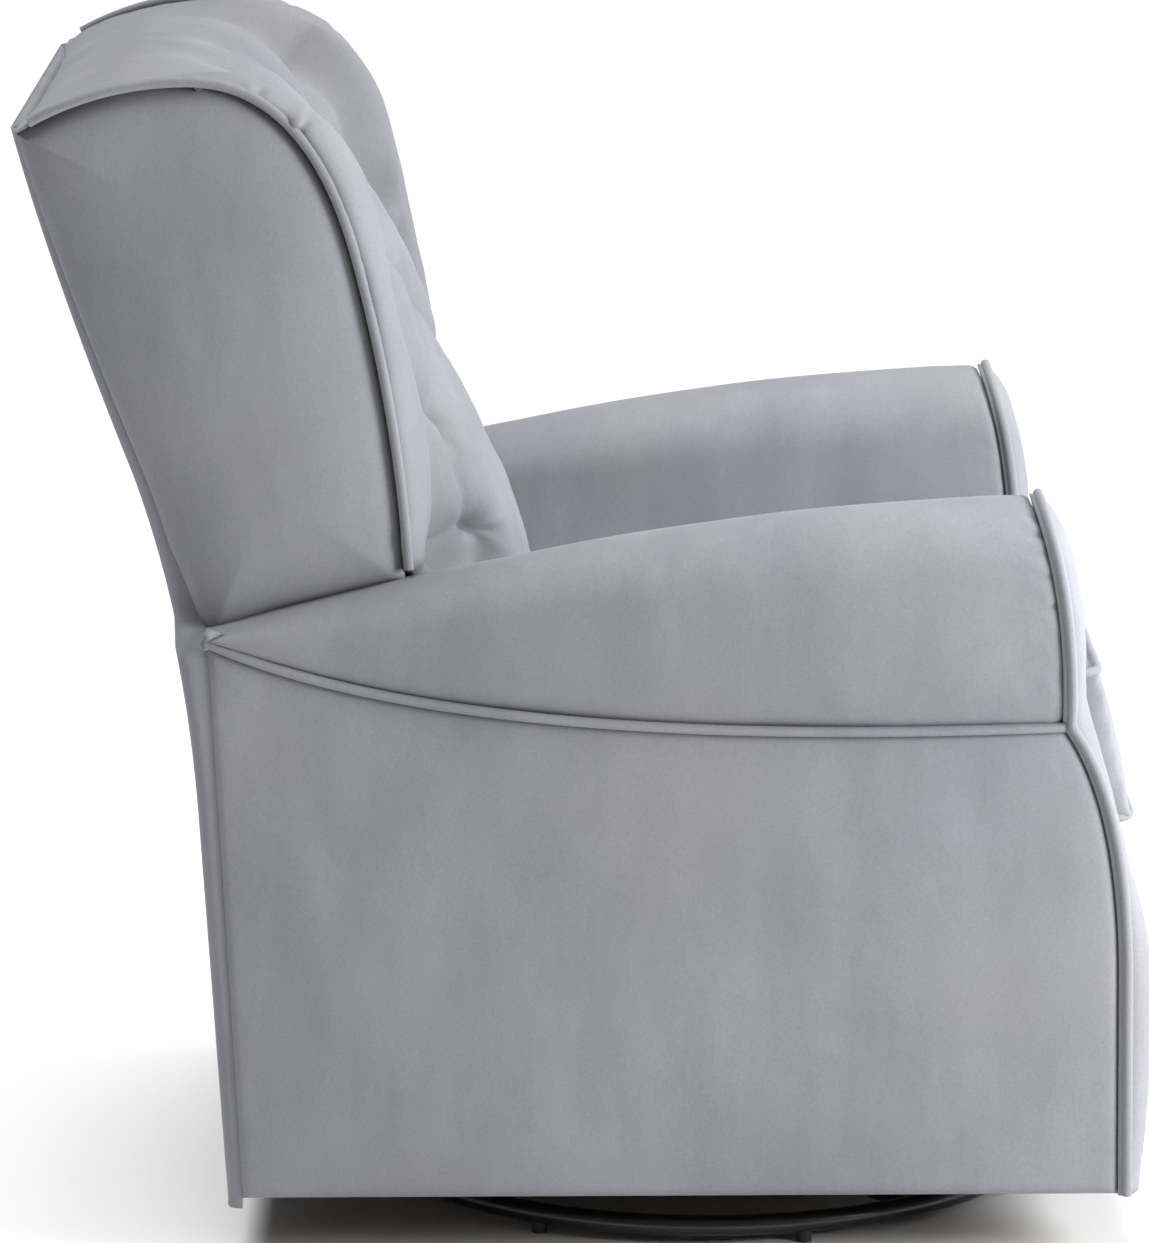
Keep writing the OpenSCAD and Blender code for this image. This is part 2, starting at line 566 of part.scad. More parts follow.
panel_y1 = seam_c.x - 20;
panel_edge = [for (i = [0:8]) let (y = panel_y0 + (panel_y1 - panel_y0) * i / 8) [y, seam_z(y) - 1]];
panel_rear = post_line(panel_t + 1.5, skirt_h, panel_edge[8].y - 22);
module side_panels() color(velvet) both_sides()
  slab(side_x - panel_t, side_x, concat(moved(edge_low, 2), panel_edge, reversed(panel_rear)));
apron_top = seat_z(front) - 4;
apron_face = bez([front + 3, skirt_h + 60], [front, seat_z(front) * 0.6], [front + 14, apron_top], 6);
module front_apron() color(velvet) slab(soft_gap - arm_in, arm_in - soft_gap,
  concat([[front + 9, skirt_h]], apron_face, [[rail_front - 1, apron_top], [rail_front - 1, skirt_h]]));
back_split_z = seam_c.y - 6;
module outside_back() color(velvet) union() {
  slab(-wing_out, wing_out, concat(rear_line, reversed(moved(rear_line, -panel_t))));
  slab(-side_x, side_x,
    concat(post_line(0, skirt_h, back_split_z), reversed(post_line(panel_t, skirt_h, back_split_z))));
}

base_ring();
cross_bar_long();
cross_bar_left();
cross_bar_right();
base_feet();
bearing_lower_plate();
bearing_cage();
bearing_balls();
king_bolt();
king_washer();
king_nut();
bearing_upper_plate();
cross_channel_front();
cross_channel_rear();
channel_bolts();
side_bracket_left();
side_bracket_right();
upper_pins();
stop_bumpers();
link_front_left();
link_front_right();
link_rear_left();
link_rear_right();
seat_rail_left();
seat_rail_right();
drop_legs();
lower_pins();
seat_bolts();
frame_front_rail();
frame_rear_rail();
frame_side_left();
frame_side_right();
arm_posts_left();
arm_posts_right();
arm_board_left();
arm_board_right();
back_post_left();
back_post_right();
back_rails();
back_brackets();
back_bolts();
wing_boards();
wing_linings();
seat_springs();
spring_clips();
seat_deck();
back_straps();
dust_cover();
seat_cushion();
back_cushion();
wing_pad_left();
wing_pad_right();
arm_pad_left();
arm_pad_right();
inner_arms();
arm_front_left();
arm_front_right();
side_panels();
front_apron();
outside_back();
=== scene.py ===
import json
import math
import bpy
import bmesh
import numpy as np
from mathutils import Matrix, Vector, noise


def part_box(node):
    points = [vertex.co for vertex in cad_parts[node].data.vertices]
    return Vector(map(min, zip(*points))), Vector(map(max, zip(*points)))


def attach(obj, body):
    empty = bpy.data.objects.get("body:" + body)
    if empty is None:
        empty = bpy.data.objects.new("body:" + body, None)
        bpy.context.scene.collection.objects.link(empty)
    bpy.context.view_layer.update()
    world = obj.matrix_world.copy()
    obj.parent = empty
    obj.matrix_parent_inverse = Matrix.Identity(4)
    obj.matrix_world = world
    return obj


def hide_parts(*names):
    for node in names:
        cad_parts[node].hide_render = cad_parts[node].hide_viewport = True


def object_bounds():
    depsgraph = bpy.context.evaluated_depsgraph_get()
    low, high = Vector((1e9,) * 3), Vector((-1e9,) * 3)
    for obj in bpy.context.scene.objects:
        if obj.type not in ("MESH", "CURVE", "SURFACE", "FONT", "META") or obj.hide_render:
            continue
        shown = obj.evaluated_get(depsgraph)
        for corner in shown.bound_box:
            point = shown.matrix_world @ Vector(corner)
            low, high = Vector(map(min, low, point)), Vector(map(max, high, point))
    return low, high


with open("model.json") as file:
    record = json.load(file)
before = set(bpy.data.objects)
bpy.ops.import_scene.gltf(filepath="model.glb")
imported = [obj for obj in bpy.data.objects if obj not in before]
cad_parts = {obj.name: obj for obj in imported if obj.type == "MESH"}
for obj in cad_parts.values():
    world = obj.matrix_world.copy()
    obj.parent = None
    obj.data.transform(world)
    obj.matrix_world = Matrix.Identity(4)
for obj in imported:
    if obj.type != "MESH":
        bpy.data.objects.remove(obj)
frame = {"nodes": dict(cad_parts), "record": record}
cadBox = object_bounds()
mm = 0.001

# ---------------------------------------------------------------- small tools


def bez(a, b, c, n=24):
    a, b, c = (np.array(p, float) for p in (a, b, c))
    t = np.linspace(0, 1, n + 1)[:, None]
    return (1 - t) ** 2 * a + 2 * t * (1 - t) * b + t ** 2 * c


def path(*parts):
    pts = np.vstack([np.atleast_2d(p) for p in parts])
    keep = np.r_[True, np.linalg.norm(np.diff(pts, axis=0), axis=1) > 1e-6]
    return pts[keep]


def spaced(pts, n):  # n points at equal steps along a path
    step = np.linalg.norm(np.diff(pts, axis=0), axis=1)
    s = np.r_[0, np.cumsum(step)]
    want = np.linspace(0, s[-1], n)
    return np.column_stack([np.interp(want, s, pts[:, k]) for k in range(pts.shape[1])])


def curveThrough(keys, n):  # a smooth path through key rows, any number of columns
    keys = np.array(keys, float)
    m = len(keys)
    slope = np.gradient(keys, axis=0)
    t = np.linspace(0, m - 1, n)
    i = np.minimum(t.astype(int), m - 2)
    f = (t - i)[:, None]
    return ((2 * f ** 3 - 3 * f ** 2 + 1) * keys[i] + (f ** 3 - 2 * f ** 2 + f) * slope[i]
            + (3 * f ** 2 - 2 * f ** 3) * keys[i + 1] + (f ** 3 - f ** 2) * slope[i + 1])


def ease(x, low, high):
    t = np.clip((np.asarray(x, float) - low) / (high - low), 0, 1)
    return t * t * (3 - 2 * t)


def rounded(d, r):  # 0 at an edge, 1 from r inwards, along a quarter circle
    t = np.clip(1 - np.asarray(d) / r, 0, 1)
    return np.sqrt(np.maximum(1 - t * t, 0))


def waves(points, size, seed=0.0):
    scaled = np.asarray(points, float) / size + seed
    flat = scaled.reshape(-1, scaled.shape[-1])
    if flat.shape[1] == 2:
        flat = np.column_stack([flat, np.full(len(flat), seed)])
    return np.array([noise.noise(Vector(p)) for p in flat]).reshape(scaled.shape[:-1])


def edgeDistance(points, line):  # distance to an open or closed path, for a whole grid
    flat = points.reshape(-1, points.shape[-1])
    a, b = line[:-1], line[1:]
    ab = b - a
    length = np.maximum((ab ** 2).sum(1), 1e-12)
    best = np.full(len(flat), 9.0)
    for k in range(len(a)):
        t = np.clip(((flat - a[k]) @ ab[k]) / length[k], 0, 1)
        best = np.minimum(best, np.linalg.norm(flat - a[k] - t[:, None] * ab[k], axis=1))
    return best.reshape(points.shape[:-1])


def shifted(line, d):  # a path moved sideways, to its left
    t = np.gradient(line, axis=0)
    t /= np.maximum(np.linalg.norm(t, axis=1, keepdims=True), 1e-9)
    return line + d * np.column_stack([-t[:, 1], t[:, 0]])


def gridNormals(g):
    n = np.cross(np.gradient(g, axis=0), np.gradient(g, axis=1))
    return n / np.maximum(np.linalg.norm(n, axis=2, keepdims=True), 1e-9)


def makeMesh(name, verts, faces, material, smooth=True):
    mesh = bpy.data.meshes.new(name)
    mesh.from_pydata([tuple(map(float, v)) for v in verts], [], [tuple(map(int, f)) for f in faces])
    bm = bmesh.new()
    bm.from_mesh(mesh)
    bmesh.ops.remove_doubles(bm, verts=bm.verts, dist=1e-6)
    bmesh.ops.dissolve_degenerate(bm, edges=bm.edges, dist=1e-7)
    bmesh.ops.recalc_face_normals(bm, faces=bm.faces)
    bm.to_mesh(mesh)
    bm.free()
    if smooth:
        mesh.polygons.foreach_set("use_smooth", [True] * len(mesh.polygons))
    mesh.materials.append(material)
    obj = bpy.data.objects.new(name, mesh)
    bpy.context.scene.collection.objects.link(obj)
    return obj


def shell(name, front, back, material):  # a closed pad between two grids of the same shape
    rows, cols = front.shape[:2]
    count = rows * cols
    verts = np.vstack([front.reshape(-1, 3), back.reshape(-1, 3)])
    at = np.arange(count).reshape(rows, cols)
    quads = np.stack([at[:-1, :-1], at[1:, :-1], at[1:, 1:], at[:-1, 1:]], -1).reshape(-1, 4)
    faces = [tuple(q) for q in quads] + [tuple(q[::-1] + count) for q in quads]
    rim = list(at[0, :-1]) + list(at[:-1, -1]) + list(at[-1, :0:-1]) + list(at[:0:-1, 0])
    for a, b in zip(rim, rim[1:] + rim[:1]):
        faces.append((a, b, b + count, a + count))
    return makeMesh(name, verts, faces, material)


def bothSides(build):  # build(1) is the sitter's left, build(-1) the sitter's right
    return [build(1), build(-1)]


def sided(points, s):
    out = np.array(points, float)
    out[..., 0] *= s
    return out


def settle(piece, *nodes, fill=None):  # every piece of the cover rides on the seat body
    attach(piece, "seat")
    if nodes:
        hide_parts(*nodes)
    return piece


clothSizes = {"frames": 20, "quality": 6, "stretch": 12, "bend": 0.4, "least": 0.02}


def puff(piece, grip, cap, pressure, voxel):  # fills a pad with air; grip marks what the seams hold
    scene = bpy.context.scene
    remesh = piece.modifiers.new("remesh", "REMESH")
    remesh.mode, remesh.voxel_size = "VOXEL", voxel
    piece.data = bpy.data.meshes.new_from_object(piece.evaluated_get(bpy.context.evaluated_depsgraph_get()))
    piece.modifiers.clear()
    start = np.empty(len(piece.data.vertices) * 3)
    piece.data.vertices.foreach_get("co", start)
    start = start.reshape(-1, 3)
    group = piece.vertex_groups.new(name="seams")
    weight = grip(start)
    for i in np.nonzero(weight > clothSizes["least"])[0]:
        group.add([int(i)], float(weight[i]), "REPLACE")
    cloth = piece.modifiers.new("cloth", "CLOTH").settings
    cloth.quality = clothSizes["quality"]
    cloth.vertex_group_mass = "seams"
    cloth.use_pressure = True
    cloth.uniform_pressure_force = pressure
    cloth.effector_weights.gravity = 0
    cloth.tension_stiffness = cloth.compression_stiffness = clothSizes["stretch"]
    cloth.bending_stiffness = clothSizes["bend"]
    for number in range(1, clothSizes["frames"] + 1):
        scene.frame_set(number)
    blown = piece.evaluated_get(bpy.context.evaluated_depsgraph_get()).data
    end = np.empty(len(blown.vertices) * 3)
    blown.vertices.foreach_get("co", end)
    move = end.reshape(-1, 3) - start
    length = np.maximum(np.linalg.norm(move, axis=1, keepdims=True), 1e-9)
    move *= np.minimum(1, cap / length)
    piece.modifiers.clear()
    piece.vertex_groups.clear()
    piece.data.vertices.foreach_set("co", (start + move).ravel())
    scene.frame_set(1)
    finer = piece.modifiers.new("finer", "SUBSURF")
    finer.levels = 1
    piece.data = bpy.data.meshes.new_from_object(piece.evaluated_get(bpy.context.evaluated_depsgraph_get()))
    piece.modifiers.clear()
    piece.data.polygons.foreach_set("use_smooth", [True] * len(piece.data.polygons))


def seamHold(points, reach, *lines):  # 1 on the seams, falling to 0 at a distance
    near = np.full(len(points), 9.0)
    for line in lines:
        for a, b in zip(line, np.roll(line, -1, axis=0)):
            ab = b - a
            t = np.clip(((points - a) @ ab) / max(ab @ ab, 1e-12), 0, 1)
            near = np.minimum(near, np.linalg.norm(points - a - t[:, None] * ab, axis=1))
    return 1 - ease(near, reach * 0.4, reach)


# ---------------------------------------------------------------- materials


class Maths:
    def __init__(self, tree, value):
        self.tree, self.value = tree, value

    def op(self, kind, other, swap=False):
        node = self.tree.nodes.new("ShaderNodeMath")
        node.operation = kind
        pair = [self.value, getattr(other, "value", other)]
        for i, v in enumerate(pair[::-1] if swap else pair):
            if isinstance(v, (int, float)):
                node.inputs[i].default_value = v
            else:
                self.tree.links.new(v, node.inputs[i])
        return Maths(self.tree, node.outputs[0])

    def __add__(self, o): return self.op("ADD", o)
    def __radd__(self, o): return self.op("ADD", o, True)
    def __mul__(self, o): return self.op("MULTIPLY", o)
    def __rmul__(self, o): return self.op("MULTIPLY", o, True)


class Finish:
    def __init__(self, name):
        self.material = bpy.data.materials.new(name)
        self.material.use_nodes = True
        self.tree = self.material.node_tree
        self.shader = self.tree.nodes["Principled BSDF"]
        self.place = self.node("ShaderNodeTexCoord").outputs["Object"]

    def node(self, kind, settings=(), **sockets):
        made = self.tree.nodes.new(kind)
        for key, value in dict(settings).items():
            if key == "stops":
                ramp = made.color_ramp
                while len(ramp.elements) < len(value):
                    ramp.elements.new(1.0)
                for element, (spot, colour) in zip(ramp.elements, value):
                    element.position = spot
                    element.color = (*colour, 1.0)
            else:
                setattr(made, key, value)
        for key, value in sockets.items():
            spot = made.inputs[int(key[1:])] if key[0] == "i" and key[1:].isdigit() else made.inputs[key]
            value = getattr(value, "value", value)
            if isinstance(value, bpy.types.NodeSocket):
                self.tree.links.new(value, spot)
            else:
                spot.default_value = value
        return made

    def noise(self, scale, detail=2.0, stretch=(1, 1, 1), rough=0.5):
        spot = self.node("ShaderNodeMapping", Vector=self.place, Scale=stretch).outputs[0]
        out = self.node("ShaderNodeTexNoise", Vector=spot, Scale=scale, Detail=detail, Roughness=rough)
        return Maths(self.tree, out.outputs[0])

    def mix(self, factor, a, b):
        made = self.node("ShaderNodeMix", {"data_type": "RGBA"}, i0=factor, i6=a, i7=b)
        return made.outputs[2]

    def bump(self, height, strength, distance):
        made = self.node("ShaderNodeBump", Height=height, Strength=strength, Distance=distance)
        self.tree.links.new(made.outputs[0], self.shader.inputs["Normal"])

    def set(self, **values):
        for key, value in values.items():
            spot = self.shader.inputs[key.replace("_", " ")]
            value = getattr(value, "value", value)
            if isinstance(value, bpy.types.NodeSocket):
                self.tree.links.new(value, spot)
            else:
                spot.default_value = value
        return self.material


velvetLook = {
    "pale": (0.238, 0.242, 0.268, 1), "deep": (0.190, 0.194, 0.218, 1), "warm": (0.222, 0.222, 0.232, 1),
    "patchScale": 7.0, "streakScale": 26.0, "pileScale": 1400.0, "sheen": 0.10, "roughness": 0.85,
}


def velvetFinish():
    look = velvetLook
    f = Finish("velvet")
    patches = f.noise(look["patchScale"], 3.0, (1, 1, 0.8))
    brushed = f.noise(look["streakScale"], 3.0, (1, 1, 0.28), 0.6)
    speckle = f.noise(420.0, 2.0)
    pile = f.noise(look["pileScale"], 2.0)
    spread = f.node("ShaderNodeMapRange", i0=patches * 0.6 + brushed * 0.4, i1=0.36, i2=0.64)
    shade = f.mix(spread.outputs[0], look["deep"], look["pale"])
    tint = f.node("ShaderNodeMapRange", i0=f.noise(3.1, 2.0), i1=0.42, i2=0.66, i3=0.0, i4=0.55)
    shade = f.mix(tint.outputs[0], shade, look["warm"])
    fleck = f.node("ShaderNodeMapRange", i0=speckle, i1=0.3, i2=0.7, i3=0.94, i4=1.04)
    grain = f.node("ShaderNodeVectorMath", {"operation": "SCALE"}, i0=shade, Scale=fleck.outputs[0])
    f.bump(pile * 0.5 + speckle * 0.5, 0.22, 0.0006)
    return f.set(Base_Color=grain.outputs[0], Roughness=look["roughness"], Sheen_Weight=look["sheen"],
                 Sheen_Roughness=0.32, Sheen_Tint=(0.93, 0.95, 1.0, 1), Specular_IOR_Level=0.25)


def enamelFinish(name, colour, roughness, coat):
    f = Finish(name)
    dust = f.noise(60.0, 4.0)
    peel = f.noise(900.0, 1.0)
    rough = f.node("ShaderNodeMapRange", i0=dust, i1=0.35, i2=0.7, i3=roughness, i4=roughness + 0.12)
    shade = f.mix(f.noise(18.0, 3.0), (*colour, 1), tuple(c * 1.5 + 0.002 for c in colour) + (1,))
    f.bump(peel, 0.06, 0.0003)
    return f.set(Base_Color=shade, Roughness=rough.outputs[0], Coat_Weight=coat, Coat_Roughness=0.06)


def metalFinish(name, colour, roughness):
    f = Finish(name)
    brushed = f.noise(120.0, 4.0, (12, 1, 1))
    stain = f.noise(30.0, 4.0)
    rough = f.node("ShaderNodeMapRange", i0=brushed, i1=0.3, i2=0.7, i3=roughness - 0.06, i4=roughness + 0.12)
    shade = f.mix(stain, (*colour, 1), tuple(c * 0.82 for c in colour) + (1,))
    f.bump(brushed, 0.05, 0.0003)
    return f.set(Base_Color=shade, Roughness=rough.outputs[0], Metallic=0.95)


def woodFinish(name, pale, dark, ringScale):
    f = Finish(name)
    grain = f.noise(ringScale, 5.0, (6, 0.7, 6), 0.6)
    pores = f.noise(420.0, 2.0, (5, 0.5, 5))
    spread = f.node("ShaderNodeMapRange", i0=grain * 0.75 + pores * 0.25, i1=0.35, i2=0.65)
    shade = f.mix(spread.outputs[0], (*pale, 1), (*dark, 1))
    rough = f.node("ShaderNodeMapRange", i0=pores, i1=0.3, i2=0.7, i3=0.62, i4=0.8)
    f.bump(grain * 0.6 + pores * 0.4, 0.18, 0.0008)
    return f.set(Base_Color=shade, Roughness=rough.outputs[0])


def plyFinish():
    f = Finish("plywood")
    layers = f.node("ShaderNodeTexWave", {"bands_direction": "X"}, Vector=f.place, Scale=90.0, Distortion=0.6)
    face = f.noise(22.0, 5.0, (1, 0.5, 4), 0.6)
    blend = Maths(f.tree, layers.outputs[1]) * 0.35 + face * 0.5
    shade = f.mix(blend, (0.60, 0.44, 0.26, 1), (0.36, 0.23, 0.12, 1))
    f.bump(face, 0.15, 0.0006)
    return f.set(Base_Color=shade, Roughness=0.74)


def weaveFinish(name, colour, scale, roughness):
    f = Finish(name)
    warp = f.node("ShaderNodeTexWave", {"bands_direction": "X"}, Vector=f.place, Scale=scale, Distortion=0.3)
    weft = f.node("ShaderNodeTexWave", {"bands_direction": "Y"}, Vector=f.place, Scale=scale, Distortion=0.3)
    lift = Maths(f.tree, warp.outputs[1]) * 0.5 + Maths(f.tree, weft.outputs[1]) * 0.5
    shade = f.mix(lift, tuple(c * 0.6 for c in colour) + (1,), tuple(c * 1.3 for c in colour) + (1,))
    f.bump(lift, 0.3, 0.0006)
    return f.set(Base_Color=shade, Roughness=roughness)


def rubberFinish(name, colour, roughness):
    f = Finish(name)
    skin = f.noise(300.0, 3.0)
    shade = f.mix(f.noise(40.0, 3.0), (*colour, 1), tuple(c * 1.6 + 0.004 for c in colour) + (1,))
    f.bump(skin, 0.12, 0.0004)
    rough = f.node("ShaderNodeMapRange", i0=skin, i1=0.3, i2=0.7, i3=roughness, i4=roughness + 0.1)
    return f.set(Base_Color=shade, Roughness=rough.outputs[0])


velvet = velvetFinish()
finishes = {
    "velvet": velvet,
    "base_enamel": enamelFinish("black_gloss_enamel", (0.003, 0.003, 0.0035), 0.3, 0.2),
    "mechanism_enamel": enamelFinish("black_satin_enamel", (0.022, 0.022, 0.024), 0.36, 0.1),
    "zinc_steel": metalFinish("bright_zinc", (0.60, 0.61, 0.63), 0.32),
    "foot_rubber": rubberFinish("foot_rubber", (0.012, 0.012, 0.012), 0.55),
    "bumper_rubber": rubberFinish("bumper_rubber", (0.016, 0.016, 0.016), 0.6),
    "cage_nylon": rubberFinish("natural_nylon", (0.62, 0.60, 0.52), 0.42),
    "frame_wood": woodFinish("sawn_softwood", (0.62, 0.44, 0.26), (0.40, 0.25, 0.12), 14.0),
    "board_wood": plyFinish(),
    "webbing": weaveFinish("black_webbing", (0.03, 0.03, 0.032), 160.0, 0.8),
    "dust_cloth": weaveFinish("dust_cloth", (0.018, 0.018, 0.02), 260.0, 0.9),
}
for part in frame["record"]["subparts"]:
    mesh = frame["nodes"][part["node"]].data
    mesh.materials.clear()
    mesh.materials.append(finishes[part["material_slot"]])
print("materials ready")

# ---------------------------------------------------------------- outlines of the sides, from the frame's boxes

frontY, rearY, topZ = cadBox[0][1], cadBox[1][1], cadBox[1][2]
rollLow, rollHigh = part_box("arm_pad_left")
panelLow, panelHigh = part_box("side_panels")
backLow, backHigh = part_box("outside_back")
seatLow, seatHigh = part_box("seat_cushion")
armIn, rollOut, armTop = rollLow.x, rollHigh.x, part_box("arm_front_left")[1].z
skirt, sideX = panelLow.z, panelHigh.x
rollZ = rollLow.z + 1 * mm
footY = backLow.y + 12 * mm
rearTop = (rearY, backHigh.z - 0.006)

rearLine = path((footY, skirt), bez((footY + 0.020, armTop * 0.6), (footY + 0.030, armTop - 0.110),
                                    (footY + 0.072, armTop + 0.012)),
                bez((footY + 0.072, armTop + 0.012), (rearY - 0.030, rearTop[1] * 0.6 + (armTop + 0.012) * 0.4),
                    rearTop))
seamLine = bez((frontY + 0.077, rollZ), (footY - 0.190, rollZ - 0.018), (footY + 0.014, rollZ + 0.077), 60)
rollTopLine = bez((frontY + 0.104, armTop - 0.001), (footY - 0.364, armTop - 0.010),
                  (footY + 0.014, rollZ + 0.080), 60)
edgeLine = path((frontY + 0.025, skirt),
                bez((frontY + 0.027, rollZ * 0.55), (frontY + 0.030, rollZ * 0.86), (frontY + 0.077, rollZ)),
                bez((frontY + 0.077, rollZ), (frontY + 0.078, armTop - 0.070),
                    (frontY + 0.107, armTop + 0.006)))
faceLine = path(bez((frontY + 0.009, skirt), (frontY, skirt + 0.09), (frontY, skirt + 0.15)),
                bez((frontY, skirt + 0.158), (frontY, rollZ * 0.72 - 0.05), (frontY + 0.020, rollZ * 0.72)),
                bez((frontY + 0.022, rollZ * 0.72 + 0.01), (frontY + 0.036, rollZ * 0.87),
                    (frontY + 0.060, rollZ + 0.02)),
                bez((frontY + 0.061, rollZ + 0.04), (frontY + 0.062, armTop - 0.06), (frontY + 0.092, armTop)))


def rearAt(z): return np.interp(z, rearLine[:, 1], rearLine[:, 0])
def seamAt(y): return np.interp(y, seamLine[:, 0], seamLine[:, 1])
def rollTopAt(y): return np.minimum(np.interp(y, rollTopLine[:, 0], rollTopLine[:, 1]), armTop)
def edgeAt(z): return np.interp(z, edgeLine[:, 1], edgeLine[:, 0])
def faceAt(z): return np.interp(z, faceLine[:, 1], faceLine[:, 0])


wingFoot = (footY - 0.155, float(rollTopAt(footY - 0.155)) + 0.003)
wingKnee = (rearY - 0.282, topZ - 0.149)
wingTop = (rearY - 0.148, topZ - 0.0075)
wingTip = (rearY - 0.005, rearTop[1] - 0.003)
wingLine = path(bez(wingFoot, (wingFoot[0] + 0.007, (wingFoot[1] + wingKnee[1]) / 2), wingKnee),
                bez(wingKnee, (wingKnee[0] + 0.038, wingTop[1]), wingTop),
                bez(wingTop, (rearY - 0.07, wingTop[1]), wingTip))

wingLow = rollZ + 0.080
panelRear = [(footY - 0.010, skirt), (footY + 0.013, wingLow)]


def rearEdgeAt(z):  # where the sides end and the outside back wraps round to meet them
    z = np.asarray(z, float)
    wing = rearAt(z) - np.interp(z, [wingLow, wingLow + 0.07, rearTop[1]], [0.024, 0.013, 0.005])
    side = np.interp(z, [panelRear[0][1], panelRear[1][1]], [panelRear[0][0], panelRear[1][0]])
    return np.where(z > wingLow, np.minimum(wing, rearAt(z) - 0.004), side)


# ---------------------------------------------------------------- piping: one tube along each sewn edge

pipingSizes = {"radius": 4.3 * mm, "step": 2.0 * mm, "sides": 14}


def pipingTree():
    tree = bpy.data.node_groups.new("piping", "GeometryNodeTree")
    tree.interface.new_socket("Geometry", in_out="INPUT", socket_type="NodeSocketGeometry")
    radius = tree.interface.new_socket("Radius", in_out="INPUT", socket_type="NodeSocketFloat")
    step = tree.interface.new_socket("Step", in_out="INPUT", socket_type="NodeSocketFloat")
    sides = tree.interface.new_socket("Sides", in_out="INPUT", socket_type="NodeSocketInt")
    cloth = tree.interface.new_socket("Cloth", in_out="INPUT", socket_type="NodeSocketMaterial")
    tree.interface.new_socket("Geometry", in_out="OUTPUT", socket_type="NodeSocketGeometry")
    make, link = tree.nodes.new, tree.links.new
    start, end = make("NodeGroupInput"), make("NodeGroupOutput")
    resample, ring = make("GeometryNodeResampleCurve"), make("GeometryNodeCurvePrimitiveCircle")
    resample.mode = "LENGTH"
    sweep, smooth = make("GeometryNodeCurveToMesh"), make("GeometryNodeSetShadeSmooth")
    realize, paint = make("GeometryNodeRealizeInstances"), make("GeometryNodeSetMaterial")
    link(start.outputs["Geometry"], resample.inputs["Curve"])
    link(start.outputs["Step"], resample.inputs["Length"])
    link(start.outputs["Radius"], ring.inputs["Radius"])
    link(start.outputs["Sides"], ring.inputs["Resolution"])
    link(resample.outputs[0], sweep.inputs["Curve"])
    link(ring.outputs[0], sweep.inputs["Profile Curve"])
    sweep.inputs["Fill Caps"].default_value = True
    link(sweep.outputs[0], smooth.inputs[0])
    link(smooth.outputs[0], realize.inputs[0])
    link(realize.outputs[0], paint.inputs["Geometry"])
    link(start.outputs["Cloth"], paint.inputs["Material"])
    link(paint.outputs[0], end.inputs[0])
    return tree, [socket.identifier for socket in (radius, step, sides, cloth)]


pipingNodes, pipingInputs = pipingTree()


def bakeNodes(obj, name):  # the modifier's result as a plain mesh at the origin
    graph = bpy.context.evaluated_depsgraph_get()
    mesh = bpy.data.meshes.new_from_object(obj.evaluated_get(graph))
    mesh.name = name
    bm = bmesh.new()
    bm.from_mesh(mesh)
    bmesh.ops.remove_doubles(bm, verts=bm.verts, dist=1e-6)
    bmesh.ops.recalc_face_normals(bm, faces=bm.faces)
    bm.to_mesh(mesh)
    bm.free()
    made = bpy.data.objects.new(name, mesh)
    bpy.context.scene.collection.objects.link(made)
    bpy.data.objects.remove(obj)
    return made


def tubeAlong(name, routes, closed=False):
    curve = bpy.data.curves.new(name + "_route", "CURVE")
    curve.dimensions = "3D"
    for route in routes:
        spline = curve.splines.new("POLY")
        spline.points.add(len(route) - 1)
        spline.points.foreach_set("co", np.column_stack([route, np.ones(len(route))]).ravel())
        if not closed:
            s = np.r_[0, np.cumsum(np.linalg.norm(np.diff(route, axis=0), axis=1))]
            taper = rounded(np.minimum(s, s[-1] - s), pipingSizes["radius"]) + 0.02
            spline.points.foreach_set("radius", taper)
        spline.use_cyclic_u = closed
    obj = bpy.data.objects.new(name + "_route", curve)
    bpy.context.scene.collection.objects.link(obj)
    modifier = obj.modifiers.new("piping", "NODES")
    modifier.node_group = pipingNodes
    size = pipingSizes
    for key, value in zip(pipingInputs, (size["radius"], size["step"], size["sides"], velvet)):
        modifier[key] = value
    return bakeNodes(obj, name)


# ---------------------------------------------------------------- wing pads

wingSizes = {"rows": 150, "cols": 100, "edgeX": 0.3015, "lip": 0.008, "lipRound": 0.010, "round": 0.078,
             "crown": 0.020, "belly": 0.0055, "thick": 0.024, "pucker": 0.0008}
wingLowEdge = np.array([(y, float(rollTopAt(y)) - 0.004 - 0.006 * float(ease(y, footY - 0.05, footY)))
                        for y in np.linspace(wingFoot[0], footY + 0.013, 30)])


